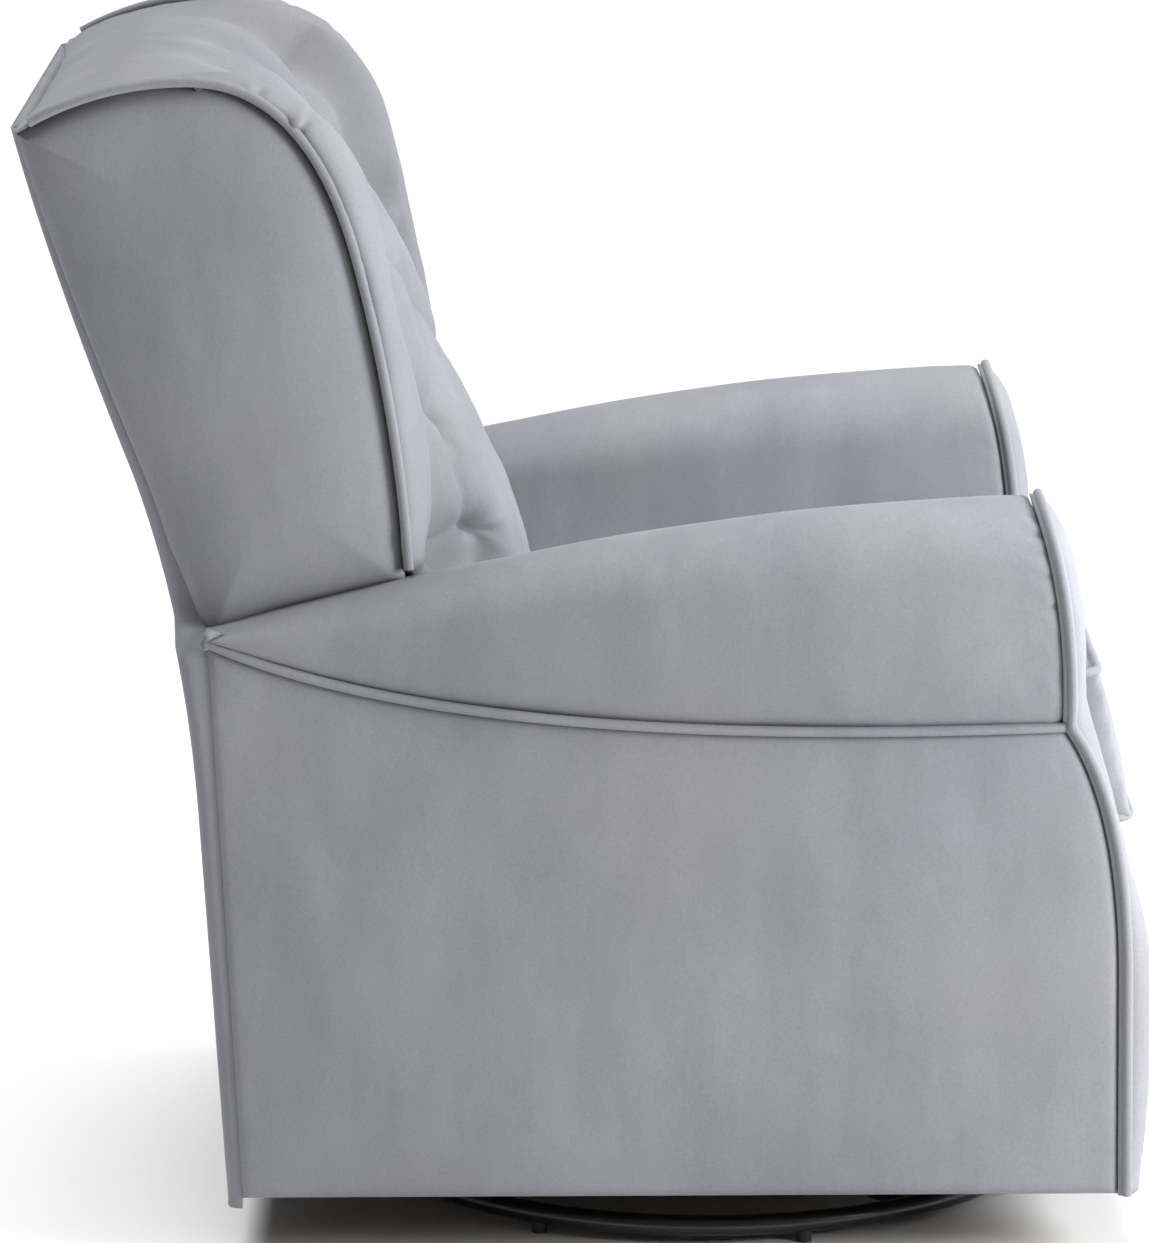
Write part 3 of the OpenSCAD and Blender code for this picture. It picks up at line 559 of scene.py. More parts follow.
def wingPad(s):
    size = wingSizes
    height = np.linspace(wingLowEdge[-1][1], rearTop[1], size["rows"])
    rear = np.column_stack([rearEdgeAt(height + 1e-5), height])
    front = spaced(wingLine, size["rows"])
    v = np.linspace(0, 1, size["rows"])[:, None, None]
    u = np.linspace(0, 1, size["cols"])[None, :, None]
    flat = rear[:, None] * (1 - u) + front[:, None] * u
    low = spaced(wingLowEdge[::-1], size["cols"])
    straight = rear[0] * (1 - u[0]) + front[0] * u[0]
    flat = flat + (low - straight)[None] * (1 - v) ** 3
    outline = path(wingLine, rear[::-1], wingLowEdge[::-1])
    d = edgeDistance(flat, outline)
    lift = size["lip"] * rounded(d, size["lipRound"]) + size["crown"] * rounded(d, size["round"])
    lift += size["belly"] * (1 - np.exp(-d / 0.07))
    lift += size["pucker"] * waves(flat, 0.011, 3.0) * np.exp(-d / 0.012)
    lift += 0.0012 * waves(flat, 0.09, 7.0) * rounded(d, 0.05)
    x = size["edgeX"] + lift
    outer = sided(np.dstack([x, flat]), s)
    middle = flat.reshape(-1, 2).mean(0)
    inner = np.dstack([np.full(x.shape, size["edgeX"] - size["thick"]), flat + (middle - flat) * 0.03])
    return settle(shell("wing_cover_" + ("left" if s > 0 else "right"), outer, sided(inner, s), velvet),
                  "wing_pad_left" if s > 0 else "wing_pad_right", fill=0.8)


bothSides(wingPad)
pipingX = wingSizes["edgeX"] + 0.0185
wingRoute = shifted(spaced(wingLine, 240), 0.0035)[2:-6]
wingRoutes = [np.column_stack([np.full(len(wingRoute), s * pipingX), wingRoute]) for s in (1, -1)]
settle(tubeAlong("wing_piping", wingRoutes))
print("wings done")

# ---------------------------------------------------------------- arm rolls

rollSizes = {"rows": 120, "cols": 96, "thick": 0.010, "edgeRound": 0.012, "edgeDrop": 0.009,
             "pucker": 0.0016, "puckerSize": 0.014, "taper": 0.022, "tuckDepth": 0.0026, "tuckWidth": 0.0022,
             "tuckReach": 0.016}
rollTucks = [0.012, 0.026, 0.041, 0.060, 0.085]  # how far below the top of the roll each tuck sits


def rollSection(top, low, out, n):
    r = (rollOut - armIn) / 2
    mid = armIn + r
    h = min(0.060, (top - low) * 0.32 + 0.004)
    outer = rollOut - out
    lowX = sideX + 0.001
    tuck = [(lowX - 0.014, low - 0.005), (lowX - 0.006, low - 0.003)]
    swell = (outer + 0.002, low + (top - low) * 0.26)
    rise = path(tuck, bez((lowX - 0.002, low), swell, (outer, top - h), 20))
    a = np.radians(np.linspace(0, 180, 40))
    over = np.column_stack([mid + np.where(np.cos(a) > 0, r - out, r) * np.cos(a), top - h + h * np.sin(a)])
    down = np.array([(armIn, top - h), (armIn, min(low, top - h) - 0.03)])
    return spaced(path(rise, over, down), n)


def armRoll(s):
    size = rollSizes
    yEnd = footY + 0.013
    v = np.linspace(0, 1, size["rows"]) ** 1.15
    grid = np.zeros((size["rows"], size["cols"], 3))
    for i, t in enumerate(v):
        yMid = (frontY + 0.082) * (1 - t) + yEnd * t
        top, low = float(rollTopAt(yMid)), float(seamAt(yMid)) + 0.002
        sec = rollSection(top, low, size["taper"] * t * t, size["cols"])
        yFront = edgeAt(np.maximum(sec[:, 1], rollZ + 0.001)) + 0.002
        y = yFront * (1 - t) + yEnd * t
        grid[i] = np.column_stack([sec[:, 0], y, sec[:, 1]])
    normal = gridNormals(grid)
    if normal[40, 30, 0] < 0:
        normal = -normal
    dFront = np.linalg.norm(grid - grid[:1], axis=2)
    drop = size["edgeDrop"] * (1 - rounded(dFront, size["edgeRound"]))
    tuck = size["pucker"] * waves(grid, size["puckerSize"], 1.5) * np.exp(-dFront / 0.020)
    slack = 0.0012 * waves(grid, 0.11, 4.0)
    for k, below in enumerate(rollTucks):
        away = grid[..., 2] - (armTop - below) - (0.10 + 0.05 * (k % 3)) * dFront
        fall = np.exp(-(dFront / (size["tuckReach"] * (0.75 + 0.2 * (k % 3)))) ** 2)
        fall = fall * (grid[..., 0] > (armIn + rollOut) / 2)
        tuck = tuck - size["tuckDepth"] * np.exp(-(away / size["tuckWidth"]) ** 2) * fall
    grid = grid + normal * (tuck + slack - drop)[..., None]
    back = grid - normal * size["thick"]
    piece = shell("arm_roll_" + ("left" if s > 0 else "right"), sided(grid, s), sided(back, s), velvet)
    return settle(piece, "arm_pad_left" if s > 0 else "arm_pad_right", fill=0.85)


bothSides(armRoll)
print("arm rolls done")

# ---------------------------------------------------------------- side panels

sideSizes = {"rows": 110, "cols": 150, "edgeX": sideX - 0.0065, "lip": 0.0065, "lipRound": 0.008, "round": 0.05,
             "crown": 0.002, "thick": 0.008}


def sidePanel(s):
    size = sideSizes
    u = np.linspace(0, 1, size["cols"])[None, :]
    v = np.linspace(0, 1, size["rows"])[:, None]
    z = skirt + v * (rollZ - skirt) + 0 * u
    for settling in range(12):  # the top of the panel follows the seam, which depends on the depth
        yRear = rearEdgeAt(np.minimum(z, wingLow))
        y = yRear * (1 - u) + (edgeAt(np.minimum(z, rollZ)) + 0.003) * u
        z = skirt + v * (seamAt(y) - 0.001 - skirt)
    flat = np.dstack([y, z])
    outline = path(flat[0], flat[:, -1], flat[-1, ::-1], flat[::-1, 0])
    d = edgeDistance(flat, outline)
    lift = size["lip"] * rounded(d, size["lipRound"]) + size["crown"] * rounded(d, size["round"])
    lift += 0.0020 * waves(flat, 0.16, 2.0) * rounded(d, 0.08)
    lift += 0.0008 * waves(flat, 0.05, 5.0) * rounded(d, 0.05)
    outer = sided(np.dstack([size["edgeX"] + lift, flat]), s)
    inner = sided(np.dstack([np.full(y.shape, size["edgeX"] - size["thick"]), flat]), s)
    return shell("side_panel_" + ("left" if s > 0 else "right"), outer, inner, velvet)


sidePanels = bothSides(sidePanel)
settle(sidePanels[0], "side_panels")
settle(sidePanels[1])
seamRoute = spaced(seamLine, 300)[1:]
seamBulge = 0.0010 + 0.0035 * np.sin(np.linspace(0, math.pi, 299))
seamRoutes = [np.column_stack([s * (sideX + seamBulge), seamRoute]) for s in (1, -1)]
settle(tubeAlong("arm_seam_piping", seamRoutes))
print("side panels done")

# ---------------------------------------------------------------- padded arm ends

endSizes = {"rows": 130, "cols": 40, "round": 0.030, "back": 0.004}


def endOutline(n):  # around the arm end, outer foot to inner foot: x, z
    sec = rollSection(armTop, rollZ, 0.0, 160)
    sec = sec[sec[:, 1] > rollZ + 0.004]
    return spaced(path((sideX, skirt), (sideX, rollZ - 0.01), sec, (armIn, rollZ - 0.04), (armIn, skirt)), n)


def armEnd(s):
    size = endSizes
    line = endOutline(2 * size["rows"])
    peak = int(np.argmax(line[:, 1]))
    out, inn = spaced(line[:peak + 1], size["rows"]), spaced(line[:peak - 1:-1], size["rows"])
    u = np.linspace(0, 1, size["cols"])[None, :, None]
    flat = out[:, None] * (1 - u) + inn[:, None] * u
    d = edgeDistance(flat, line)
    z = flat[..., 1]
    depth = edgeAt(z) - faceAt(np.minimum(z, armTop - 0.001))
    y = edgeAt(z) - depth * rounded(d, size["round"]) + 0.0010 * waves(flat, 0.03, 9.0) * rounded(d, 0.02)
    y = y + 0.0008 * waves(flat, 0.012, 2.0) * np.exp(-d / 0.010)
    y = np.maximum(y, frontY + 0.0005)
    front = sided(np.dstack([flat[..., 0], y, z]), s)
    back = sided(np.dstack([flat[..., 0], edgeAt(z) + size["back"], z]), s)
    return settle(shell("arm_end_" + ("left" if s > 0 else "right"), front, back, velvet),
                  "arm_front_left" if s > 0 else "arm_front_right", fill=0.8)


bothSides(armEnd)
endRoute = endOutline(260)
endY = edgeAt(endRoute[:, 1]) - 0.0035
endRoutes = [np.column_stack([s * endRoute[:, 0], endY, endRoute[:, 1]]) for s in (1, -1)]
settle(tubeAlong("arm_end_piping", endRoutes))
print("arm ends done")

# ---------------------------------------------------------------- inside back, tufted, with the crest roll

# y and z of the middle, of the valley beside each wing and of the wing's sewn edge, then half width and roll
backKeys = [
    (0.040, 0.440, 0.040, 0.440, 0.040, 0.440, 0.256, 0.0),
    (0.050, 0.472, 0.058, 0.472, 0.060, 0.472, 0.256, 0.002),
    (0.055, 0.520, 0.090, 0.520, 0.106, 0.520, 0.257, 0.008),
    (0.064, 0.562, 0.125, 0.566, 0.146, 0.572, 0.272, 0.012),
    (0.076, 0.598, 0.140, 0.602, 0.157, 0.602, 0.320, 0.017),
    (0.098, 0.648, 0.144, 0.655, 0.160, 0.655, 0.322, 0.020),
    (0.122, 0.705, 0.148, 0.712, 0.167, 0.718, 0.322, 0.020),
    (0.146, 0.760, 0.170, 0.768, 0.175, 0.775, 0.322, 0.020),
    (0.170, 0.812, 0.196, 0.820, 0.184, 0.826, 0.322, 0.020),
    (0.197, 0.862, 0.214, 0.866, 0.196, 0.870, 0.322, 0.020),
    (0.226, 0.908, 0.234, 0.912, 0.213, 0.918, 0.322, 0.020),
    (0.258, 0.950, 0.263, 0.951, 0.238, 0.960, 0.322, 0.018),
    (0.294, 0.980, 0.298, 0.976, 0.270, 0.986, 0.322, 0.012),
    (0.336, 0.994, 0.338, 0.990, 0.310, 0.999, 0.322, 0.004),
    (0.376, 0.997, 0.376, 0.995, 0.352, 1.000, 0.322, -0.001),
    (0.408, 0.992, 0.408, 0.991, 0.398, 0.993, 0.322, -0.001),
    (0.440, 0.979, 0.440, 0.979, 0.440, 0.980, 0.322, 0.0),
    (0.466, 0.960, 0.468, 0.961, 0.470, 0.963, 0.322, 0.0),
]
backSizes = {"rows": 250, "cols": 190, "pillow": 0.022, "fold": 0.030, "tuft": 0.018, "tuftSize": 0.015,
             "thick": 0.030, "pucker": 0.0055, "puckerWidth": 0.0032, "puckerReach": 0.020}
tuftX, tuftHeights = 0.120, {"low": 0.690, "middle": 0.802, "high": 0.905, "crown": 0.985}
cornerPuckers = [(0.320, 1.002), (0.273, 0.988), (0.240, 0.960)]


def insideBack():
    size = backSizes
    line = curveThrough(backKeys, size["rows"])
    middle, valley, edge, half, roll = line[:, :2], line[:, 2:4], line[:, 4:6], line[:, 6], line[:, 7]
    along = np.r_[0, np.cumsum(np.linalg.norm(np.diff(middle, axis=0), axis=1))]
    upTo = int(np.argmax(middle[:, 1]))

    def heightOf(z):
        return float(np.interp(z, middle[:upTo, 1], along[:upTo]))

    tangent = np.gradient(edge, axis=0)
    out = np.column_stack([-tangent[:, 1], tangent[:, 0]])
    out /= np.linalg.norm(out, axis=1, keepdims=True)
    edge = edge + out * 0.003
    q = np.linspace(-1, 1, size["cols"])
    q = np.sign(q) * (0.62 * np.abs(q) + 0.38 * (1 - (1 - np.abs(q)) ** 2))
    reach = np.abs(q)[None, :, None] * 0.322
    band = edge + out * roll[:, None]
    inner, outer = ease(reach, 0.09, 0.224), ease(reach, 0.228, 0.272)
    flat = middle[:, None] * (1 - inner) + valley[:, None] * inner
    flat = flat * (1 - outer) + band[:, None] * outer
    turn = np.clip((reach - 0.290) / 0.032, 0, 1)
    drop = 1 - np.sqrt(np.maximum(1 - turn ** 2, 0))
    flat = flat + (edge - band)[:, None] * drop
    x = half[:, None] * q[None, :]
    grid = np.dstack([x, flat])
    normal = gridNormals(grid)
    if normal[100, 130, 1] > 0:
        normal = -normal
    h = {k: heightOf(z) for k, z in tuftHeights.items()}
    foot, seat = heightOf(0.597), heightOf(0.50)
    tufts = [(0.0, h["middle"])] + [(k * tuftX, h[r]) for k in (-1, 1) for r in ("low", "high")]
    folds = []
    for k in (-1, 1):
        lowT, highT, side = (k * tuftX, h["low"]), (k * tuftX, h["high"]), (k * 0.285, h["middle"])
        folds += [(lowT, (0.0, h["middle"])), (lowT, side), (highT, (0.0, h["middle"])), (highT, side),
                  (highT, (k * 0.06, h["crown"])), (highT, (k * 0.27, h["crown"] - 0.03)),
                  (lowT, (k * 0.128, foot)), ((k * 0.128, foot), (k * 0.118, seat)),
                  ((k * 0.128, foot), (k * 0.30, foot - 0.034))]
    spot = np.dstack([x, np.broadcast_to(along[:, None], x.shape)])
    near = np.full(x.shape, 9.0)
    for a0, b0 in folds:
        near = np.minimum(near, edgeDistance(spot, np.array([a0, b0])))
    near = np.sqrt(near ** 2 + 0.003 ** 2) - 0.003
    rim = np.minimum(half[:, None] - np.abs(x), along[:, None] * 1.0)
    calm = ease(rim, 0.012, 0.085) * (1 - 0.75 * ease(spot[..., 1], h["crown"] - 0.02, h["crown"] + 0.08))
    calm = calm * ease(spot[..., 1], 0.0, 0.05)
    lift = size["pillow"] * (1 - np.exp(-(near / size["fold"]) ** 1.15)) - size["pillow"] * 0.55
    pull = np.zeros(x.shape)
    for tx, th in tufts + [(k * 0.128, foot) for k in (-1, 1)]:
        dx, dh = spot[..., 0] - tx, spot[..., 1] - th
        r = np.hypot(dx, dh)
        pull -= size["tuft"] * np.exp(-(r / size["tuftSize"]) ** 1.6)
        pull += 0.0022 * np.cos(9 * np.arctan2(dh, dx) + tx * 40) * np.exp(-r / 0.030) * ease(r, 0.006, 0.02)
    sewn = np.r_[0, np.cumsum(np.linalg.norm(np.diff(edge, axis=0), axis=1))]
    puckers = 0.0012 * waves(np.dstack([spot[..., 1], x * 0]), 0.012, 4.0) * np.exp(-rim / 0.012)
    for k, place in enumerate(cornerPuckers):
        at = sewn[int(np.argmin(np.linalg.norm(edge - place, axis=1)))]
        away = sewn[:, None] - at - 0.10 * (k - 1) * rim
        fall = np.exp(-(rim / size["puckerReach"]) ** 2)
        puckers -= size["pucker"] * np.exp(-(away / size["puckerWidth"]) ** 2) * fall
        puckers += size["pucker"] * 0.5 * np.exp(-((away - 0.008) / 0.006) ** 2) * fall
    soft = 0.0016 * waves(grid, 0.060, 6.0) + 0.0007 * waves(grid, 0.020, 2.0)
    grid = grid + normal * (lift * calm + pull * ease(rim, 0.0, 0.03) + puckers + soft * calm)[..., None]
    shrink = 1 - 0.05 * ease(np.abs(q), 0.5, 1.0)[None, :, None]
    back = grid - normal * size["thick"] * ease(rim, -0.01, 0.03)[..., None] * 0.9
    back[..., 0:1] *= shrink
    piece = shell("inside_back", grid, back, velvet)
    return settle(piece, "back_cushion", "wing_linings", fill=0.7)


insideBack()
print("inside back done")

# ---------------------------------------------------------------- outside back

outerSizes = {"rows": 120, "cols": 110, "thick": 0.010, "crown": 0.0035}


def outsideBack():
    size = outerSizes
    z = np.linspace(skirt - 0.008, rearTop[1], size["rows"])
    half = (sideX - 0.002) + (wingSizes["edgeX"] + 0.002 - sideX) * ease(z, wingLow - 0.014, wingLow + 0.006)
    edge = rearEdgeAt(z) - 0.003
    q = np.linspace(-1, 1, size["cols"])
    q = np.sign(q) * (1 - (1 - np.abs(q)) ** 1.8)
    grid = np.zeros((size["rows"], size["cols"], 3))
    for i in range(size["rows"]):
        arc = bez((half[i], rearAt(z[i]) - 0.010), (half[i], rearAt(z[i]) - 0.001),
                  (half[i] - 0.014, rearAt(z[i])), 12)
        side = path((half[i], min(edge[i], rearAt(z[i]) - 0.011)), arc, (0.0, float(rearAt(z[i]))))
        line = path(side, sided(side, -1)[::-1])
        dense = spaced(line, 2000)
        pick = dense[((q + 1) / 2 * 1999).astype(int)]
        grid[i] = np.column_stack([pick[:, 0], pick[:, 1], np.full(size["cols"], z[i])])
    inward = ease(half[:, None] - np.abs(grid[..., 0]), 0.0, 0.10)
    ends = ease(z - z[0], 0, 0.05)[:, None] * ease(z[-1] - z, 0, 0.05)[:, None]
    grid[..., 1] += (size["crown"] + 0.0015 * waves(grid, 0.15, 8.0)) * inward * ends
    back = grid.copy()
    back[..., 1] -= size["thick"] * inward ** 0.5
    back[..., 0] *= 1 - 0.02
    return settle(shell("outside_back_panel", grid, back, velvet), "outside_back")


outsideBack()
print("outside back done")

# ---------------------------------------------------------------- seat cushion

cushionSizes = {"crown": 0.016, "bulge": 0.005, "puff": 0.024, "pressure": 4.0, "voxel": 0.006,
                "grip": 0.012}


def seatPlane(y):  # underside of the cushion at a depth
    low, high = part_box("seat_deck")
    return high.z + 0.002 + (low.y - y) * (high.z - low.z - 0.006) / (high.y - low.y)


def cushionCorners():
    y0 = seatLow.y
    y1 = seatHigh.y
    return {"frontLow": (y0, seatPlane(y0)), "frontTop": (y0 + 0.029, seatPlane(y0) + 0.126),
            "rearLow": (y1, seatPlane(y1)), "rearTop": (y1 - 0.004, seatPlane(y1) + 0.124)}


def seatCushion():
    size = cushionSizes
    c = cushionCorners()
    half = seatHigh.x - 0.001
    n, m, k = 90, 90, 30
    q = np.linspace(-1, 1, m)

    def face(a, b, lift, rows):
        u = np.linspace(0, 1, rows)[:, None]
        base = np.array(a) * (1 - u) + np.array(b) * u
        g = np.zeros((rows, m, 3))
        g[..., 0] = half * q[None, :]
        g[..., 1:] = base[:, None]
        bow = rounded(np.minimum(u, 1 - u) * rows / (rows - 1), 0.5) * rounded(1 - np.abs(q)[None, :], 0.9)
        d = np.array(b) - np.array(a)
        out = np.array([-d[1], d[0]]) / np.linalg.norm(d)
        g[..., 1:] += (bow * lift)[..., None] * out
        return g

    top = face(c["frontTop"], c["rearTop"], size["crown"], n)
    front = face(c["frontLow"], c["frontTop"], size["bulge"], k)
    rear = face(c["rearTop"], c["rearLow"], 0.003, k)
    bottom = face(c["rearLow"], c["frontLow"], 0.0005, n)
    loop = np.concatenate([front, top[1:], rear[1:], bottom[1:-1]], axis=0)
    rows = len(loop)
    verts, faces = loop.reshape(-1, 3), []
    at = np.arange(rows * m).reshape(rows, m)
    for i in range(rows):
        for j in range(m - 1):
            faces.append((at[i, j], at[(i + 1) % rows, j], at[(i + 1) % rows, j + 1], at[i, j + 1]))
    # side walls bow out a little between their seams
    count = len(verts)
    extra = []
    for col, sgn in ((0, -1), (m - 1, 1)):
        ring = loop[:, col]
        centre = ring.mean(0)
        previous = at[:, col]
        for step in range(1, 11):
            f = step / 10
            moved = ring + (centre - ring) * (f * 0.999)
            moved[:, 0] += sgn * 0.004 * math.sin(min(f * 2.4, 1) * math.pi / 2)
            ids = count + len(extra) + np.arange(rows)
            extra += list(moved)
            for i in range(rows):
                j = (i + 1) % rows
                faces.append((previous[i], previous[j], ids[j], ids[i]))
            previous = ids
    return makeMesh("seat_cushion_pad", np.vstack([verts, extra]), faces, velvet), c, half


cushion, corners, cushionHalf = seatCushion()


def cushionLoop(frontPoint, rearPoint, r=0.020):
    y0, z0 = frontPoint
    y1, z1 = rearPoint
    x = cushionHalf
    a = np.linspace(0, math.pi / 2, 8)
    pts = []
    turns = ((-x + r, y0 + r, math.pi), (x - r, y0 + r, 1.5 * math.pi),
             (x - r, y1 - r, 0), (-x + r, y1 - r, 0.5 * math.pi))
    for cx, cy, start in turns:
        for t in a:
            y = cy + r * math.sin(start + t)
            pts.append((cx + r * math.cos(start + t), y, z0 + (z1 - z0) * (y - y0) / (y1 - y0)))
    return np.array(pts)


topLoop = cushionLoop(corners["frontTop"], corners["rearTop"])
lowLoop = cushionLoop(corners["frontLow"], corners["rearLow"])


def cushionGrip(points):  # the two piped seams and the underside stay put
    under = 1 - ease(points[:, 2] - seatPlane(points[:, 1]), 0, cushionSizes["grip"])
    return np.maximum(seamHold(points, cushionSizes["grip"], topLoop, lowLoop), under)


puff(cushion, cushionGrip, cushionSizes["puff"], cushionSizes["pressure"], cushionSizes["voxel"])
for vertex in cushion.data.vertices:
    vertex.co.x = min(max(vertex.co.x, 0.001 - armIn), armIn - 0.001)
    vertex.co.z = max(vertex.co.z, seatPlane(vertex.co.y) - 0.001)
settle(cushion, "seat_cushion", fill=0.75)
settle(tubeAlong("cushion_piping", [topLoop, lowLoop], closed=True))
print("seat cushion done")

# ---------------------------------------------------------------- inner arms and front apron

innerLow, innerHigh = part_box("inner_arms")


def innerArm(s):
    rows, cols = 40, 80
    v, u = np.linspace(0, 1, rows)[:, None], np.linspace(0, 1, cols)[None, :]
    y = innerLow.y * (1 - u) + innerHigh.y * u + 0 * v
    z = (seatPlane(y) + 0.002) * (1 - v) + (rollZ + 0.02) * v
    d = np.minimum(np.minimum(v * 0.13, (1 - v) * 0.3), np.minimum(u, 1 - u) * 0.6)
    x = armIn + 0.002 - 0.002 * rounded(d, 0.03)
    outer = sided(np.dstack([x, y, z]), s)
    back = sided(np.dstack([x + 0.024, y, z]), s)
    return shell("inner_arm_" + ("left" if s > 0 else "right"), outer, back, velvet)


innerArms = bothSides(innerArm)
settle(innerArms[0], "inner_arms")
settle(innerArms[1])

apronLow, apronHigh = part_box("front_apron")


def frontApron():
    rows, cols = 60, 100
    v, u = np.linspace(0, 1, rows)[:, None], np.linspace(-1, 1, cols)[None, :]
    z = apronLow.z * (1 - v) + (apronHigh.z - 0.002) * v + 0 * u
    d = np.minimum(np.minimum(v, 1 - v) * (apronHigh.z - apronLow.z), (1 - np.abs(u)) * apronHigh.x)
    y = faceAt(z) + 0.012 - 0.010 * rounded(d, 0.022)
    y = y + 0.0012 * waves(np.dstack([u * 0.26 + 0 * v, z]), 0.09, 3.0)
    y = np.maximum(y, frontY + 0.001)
    x = apronHigh.x * u + 0 * v
    front = np.dstack([x, y, z])
    back = np.dstack([x * 0.995, np.full(x.shape, apronHigh.y - 0.002), z])
    return settle(shell("front_apron_pad", front, back, velvet), "front_apron")


frontApron()
print("apron done")

# ---------------------------------------------------------------- hand stitches at the lower rear corners

stitchSizes = {"step": 5.0 * mm, "length": 3.6 * mm, "width": 0.9 * mm, "rise": 0.060, "slant": 0.5}


def stitchTree():
    tree = bpy.data.node_groups.new("stitches", "GeometryNodeTree")
    tree.interface.new_socket("Geometry", in_out="INPUT", socket_type="NodeSocketGeometry")
    step = tree.interface.new_socket("Step", in_out="INPUT", socket_type="NodeSocketFloat")
    shape = tree.interface.new_socket("Shape", in_out="INPUT", socket_type="NodeSocketVector")
    slant = tree.interface.new_socket("Slant", in_out="INPUT", socket_type="NodeSocketFloat")
    thread = tree.interface.new_socket("Thread", in_out="INPUT", socket_type="NodeSocketMaterial")
    tree.interface.new_socket("Geometry", in_out="OUTPUT", socket_type="NodeSocketGeometry")
    make, link = tree.nodes.new, tree.links.new
    start, end = make("NodeGroupInput"), make("NodeGroupOutput")
    resample, ball = make("GeometryNodeResampleCurve"), make("GeometryNodeMeshUVSphere")
    place, smooth = make("GeometryNodeInstanceOnPoints"), make("GeometryNodeSetShadeSmooth")
    vary, lean, turn = make("FunctionNodeRandomValue"), make("ShaderNodeMath"), make("ShaderNodeCombineXYZ")
    realize, paint = make("GeometryNodeRealizeInstances"), make("GeometryNodeSetMaterial")
    resample.mode = "LENGTH"
    for key, value in (("Segments", 10), ("Rings", 8), ("Radius", 0.5)):
        ball.inputs[key].default_value = value
    vary.data_type = "FLOAT"
    for key, value in ((2, -0.12), (3, 0.12), ("Seed", 4)):
        vary.inputs[key].default_value = value
    link(start.outputs["Geometry"], resample.inputs["Curve"])
    link(start.outputs["Step"], resample.inputs["Length"])
    link(start.outputs["Slant"], lean.inputs[0])
    link(vary.outputs[1], lean.inputs[1])
    link(lean.outputs[0], turn.inputs["X"])
    link(resample.outputs[0], place.inputs["Points"])
    link(ball.outputs[0], place.inputs["Instance"])
    link(start.outputs["Shape"], place.inputs["Scale"])
    link(turn.outputs[0], place.inputs["Rotation"])
    link(place.outputs[0], smooth.inputs[0])
    link(smooth.outputs[0], realize.inputs[0])
    link(realize.outputs[0], paint.inputs["Geometry"])
    link(start.outputs["Thread"], paint.inputs["Material"])
    link(paint.outputs[0], end.inputs[0])
    return tree, [socket.identifier for socket in (step, shape, slant, thread)]


def handStitches():
    size = stitchSizes
    thread = weaveFinish("dark_thread", (0.055, 0.058, 0.07), 900.0, 0.7)
    curve = bpy.data.curves.new("corner_stitches_route", "CURVE")
    curve.dimensions = "3D"
    for s in (1, -1):
        z = np.linspace(skirt + 0.008, skirt + size["rise"], 8)
        route = np.column_stack([np.full(8, s * (sideX - 0.0035)), rearEdgeAt(z) + 0.0015, z])
        spline = curve.splines.new("POLY")
        spline.points.add(7)
        spline.points.foreach_set("co", np.column_stack([route, np.ones(8)]).ravel())
    obj = bpy.data.objects.new("corner_stitches_route", curve)
    bpy.context.scene.collection.objects.link(obj)
    modifier = obj.modifiers.new("stitches", "NODES")
    modifier.node_group, names = stitchTree()
    shape = (size["width"], size["length"], size["width"])
    for key, value in zip(names, (size["step"], shape, size["slant"], thread)):
        modifier[key] = value
    return settle(bakeNodes(obj, "corner_stitches"))


handStitches()
print("stitches done")

# ---------------------------------------------------------------- floor, lights, camera

studio = {"floor": (0.68, 0.68, 0.68, 1), "sky": 0.17, "overhead": 4.5, "key": 60, "front": 52}


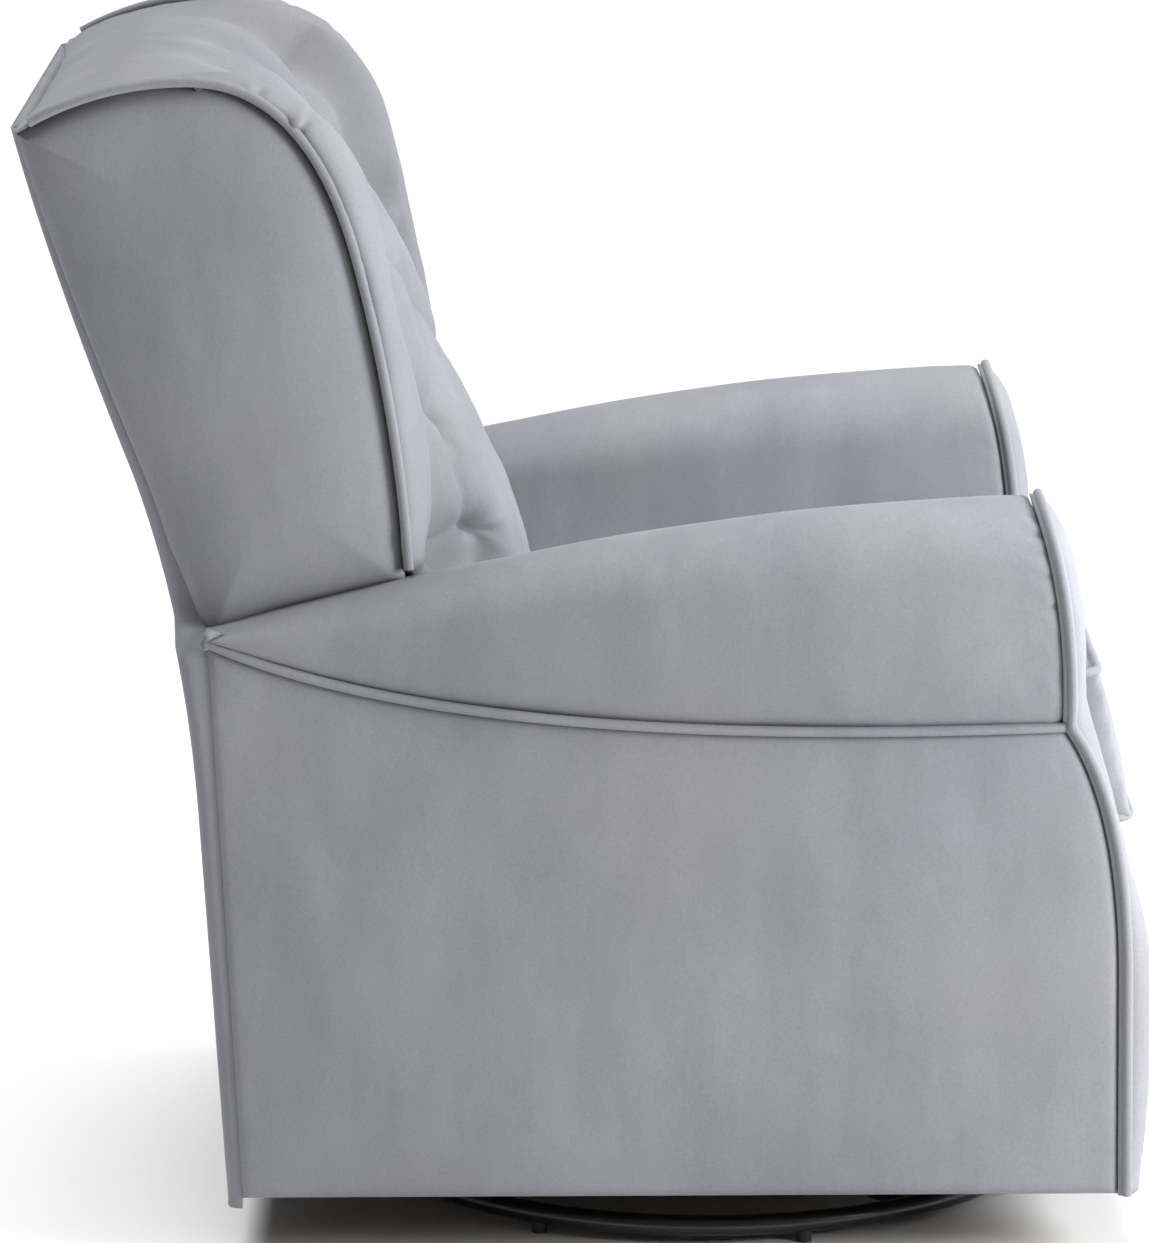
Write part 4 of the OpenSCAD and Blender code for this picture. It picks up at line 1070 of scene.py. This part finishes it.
def addLight(name, spot, target, size, power, colour=(1, 1, 1)):
    lamp = bpy.data.lights.new(name, "AREA")
    lamp.shape = "RECTANGLE"
    lamp.size, lamp.size_y = size
    lamp.energy = power
    lamp.color = colour
    obj = bpy.data.objects.new(name, lamp)
    obj.location = spot
    obj.rotation_euler = (Vector(target) - Vector(spot)).to_track_quat("-Z", "Y").to_euler()
    bpy.context.scene.collection.objects.link(obj)


def makeStudio():
    f = Finish("floor")
    floorMaterial = f.set(Base_Color=studio["floor"], Roughness=0.9)
    square = [(-30, -30, 0), (30, -30, 0), (30, 30, 0), (-30, 30, 0)]
    floor = makeMesh("floor", square, [(0, 1, 2, 3)], floorMaterial, False)
    world = bpy.data.worlds.new("studio")
    world.use_nodes = True
    world.node_tree.nodes["Background"].inputs[0].default_value = (1.0, 1.0, 1.0, 1)
    world.node_tree.nodes["Background"].inputs[1].default_value = studio["sky"]
    bpy.context.scene.world = world
    addLight("key", (-1.0, -1.75, 1.0), (0, 0, 0.5), (0.9, 0.9), studio["key"])
    addLight("front", (0.7, -2.7, 1.3), (0, 0, 0.5), (1.6, 1.6), studio["front"])
    sun = bpy.data.lights.new("overhead", "SUN")
    sun.energy, sun.angle = studio["overhead"], math.radians(44)
    overhead = bpy.data.objects.new("overhead", sun)
    overhead.rotation_euler = (math.radians(-12), math.radians(3), 0)
    bpy.context.scene.collection.objects.link(overhead)
    bpy.context.scene.view_settings.view_transform = "Standard"


def makeCamera():
    spot = Vector((-5.573, 0.039, 1.664))
    pitch, yaw, roll = math.radians(11.96), math.radians(-0.3), math.radians(-0.2)
    ahead = Vector((math.cos(pitch) * math.cos(yaw), math.cos(pitch) * math.sin(yaw), -math.sin(pitch)))
    right = Vector((math.sin(yaw), -math.cos(yaw), 0))
    up = right.cross(ahead)
    side = right * math.cos(roll) + up * math.sin(roll)
    top = up * math.cos(roll) - right * math.sin(roll)
    lens = bpy.data.cameras.new("camera")
    lens.lens = 36 * 6415 / 1243
    lens.sensor_width = 36
    lens.clip_end = 100
    obj = bpy.data.objects.new("camera", lens)
    turn = Matrix((side, top, -ahead)).transposed()
    obj.matrix_world = Matrix.Translation(spot) @ turn.to_4x4()
    bpy.context.scene.collection.objects.link(obj)
    bpy.context.scene.camera = obj


makeStudio()
makeCamera()
print("studio done")
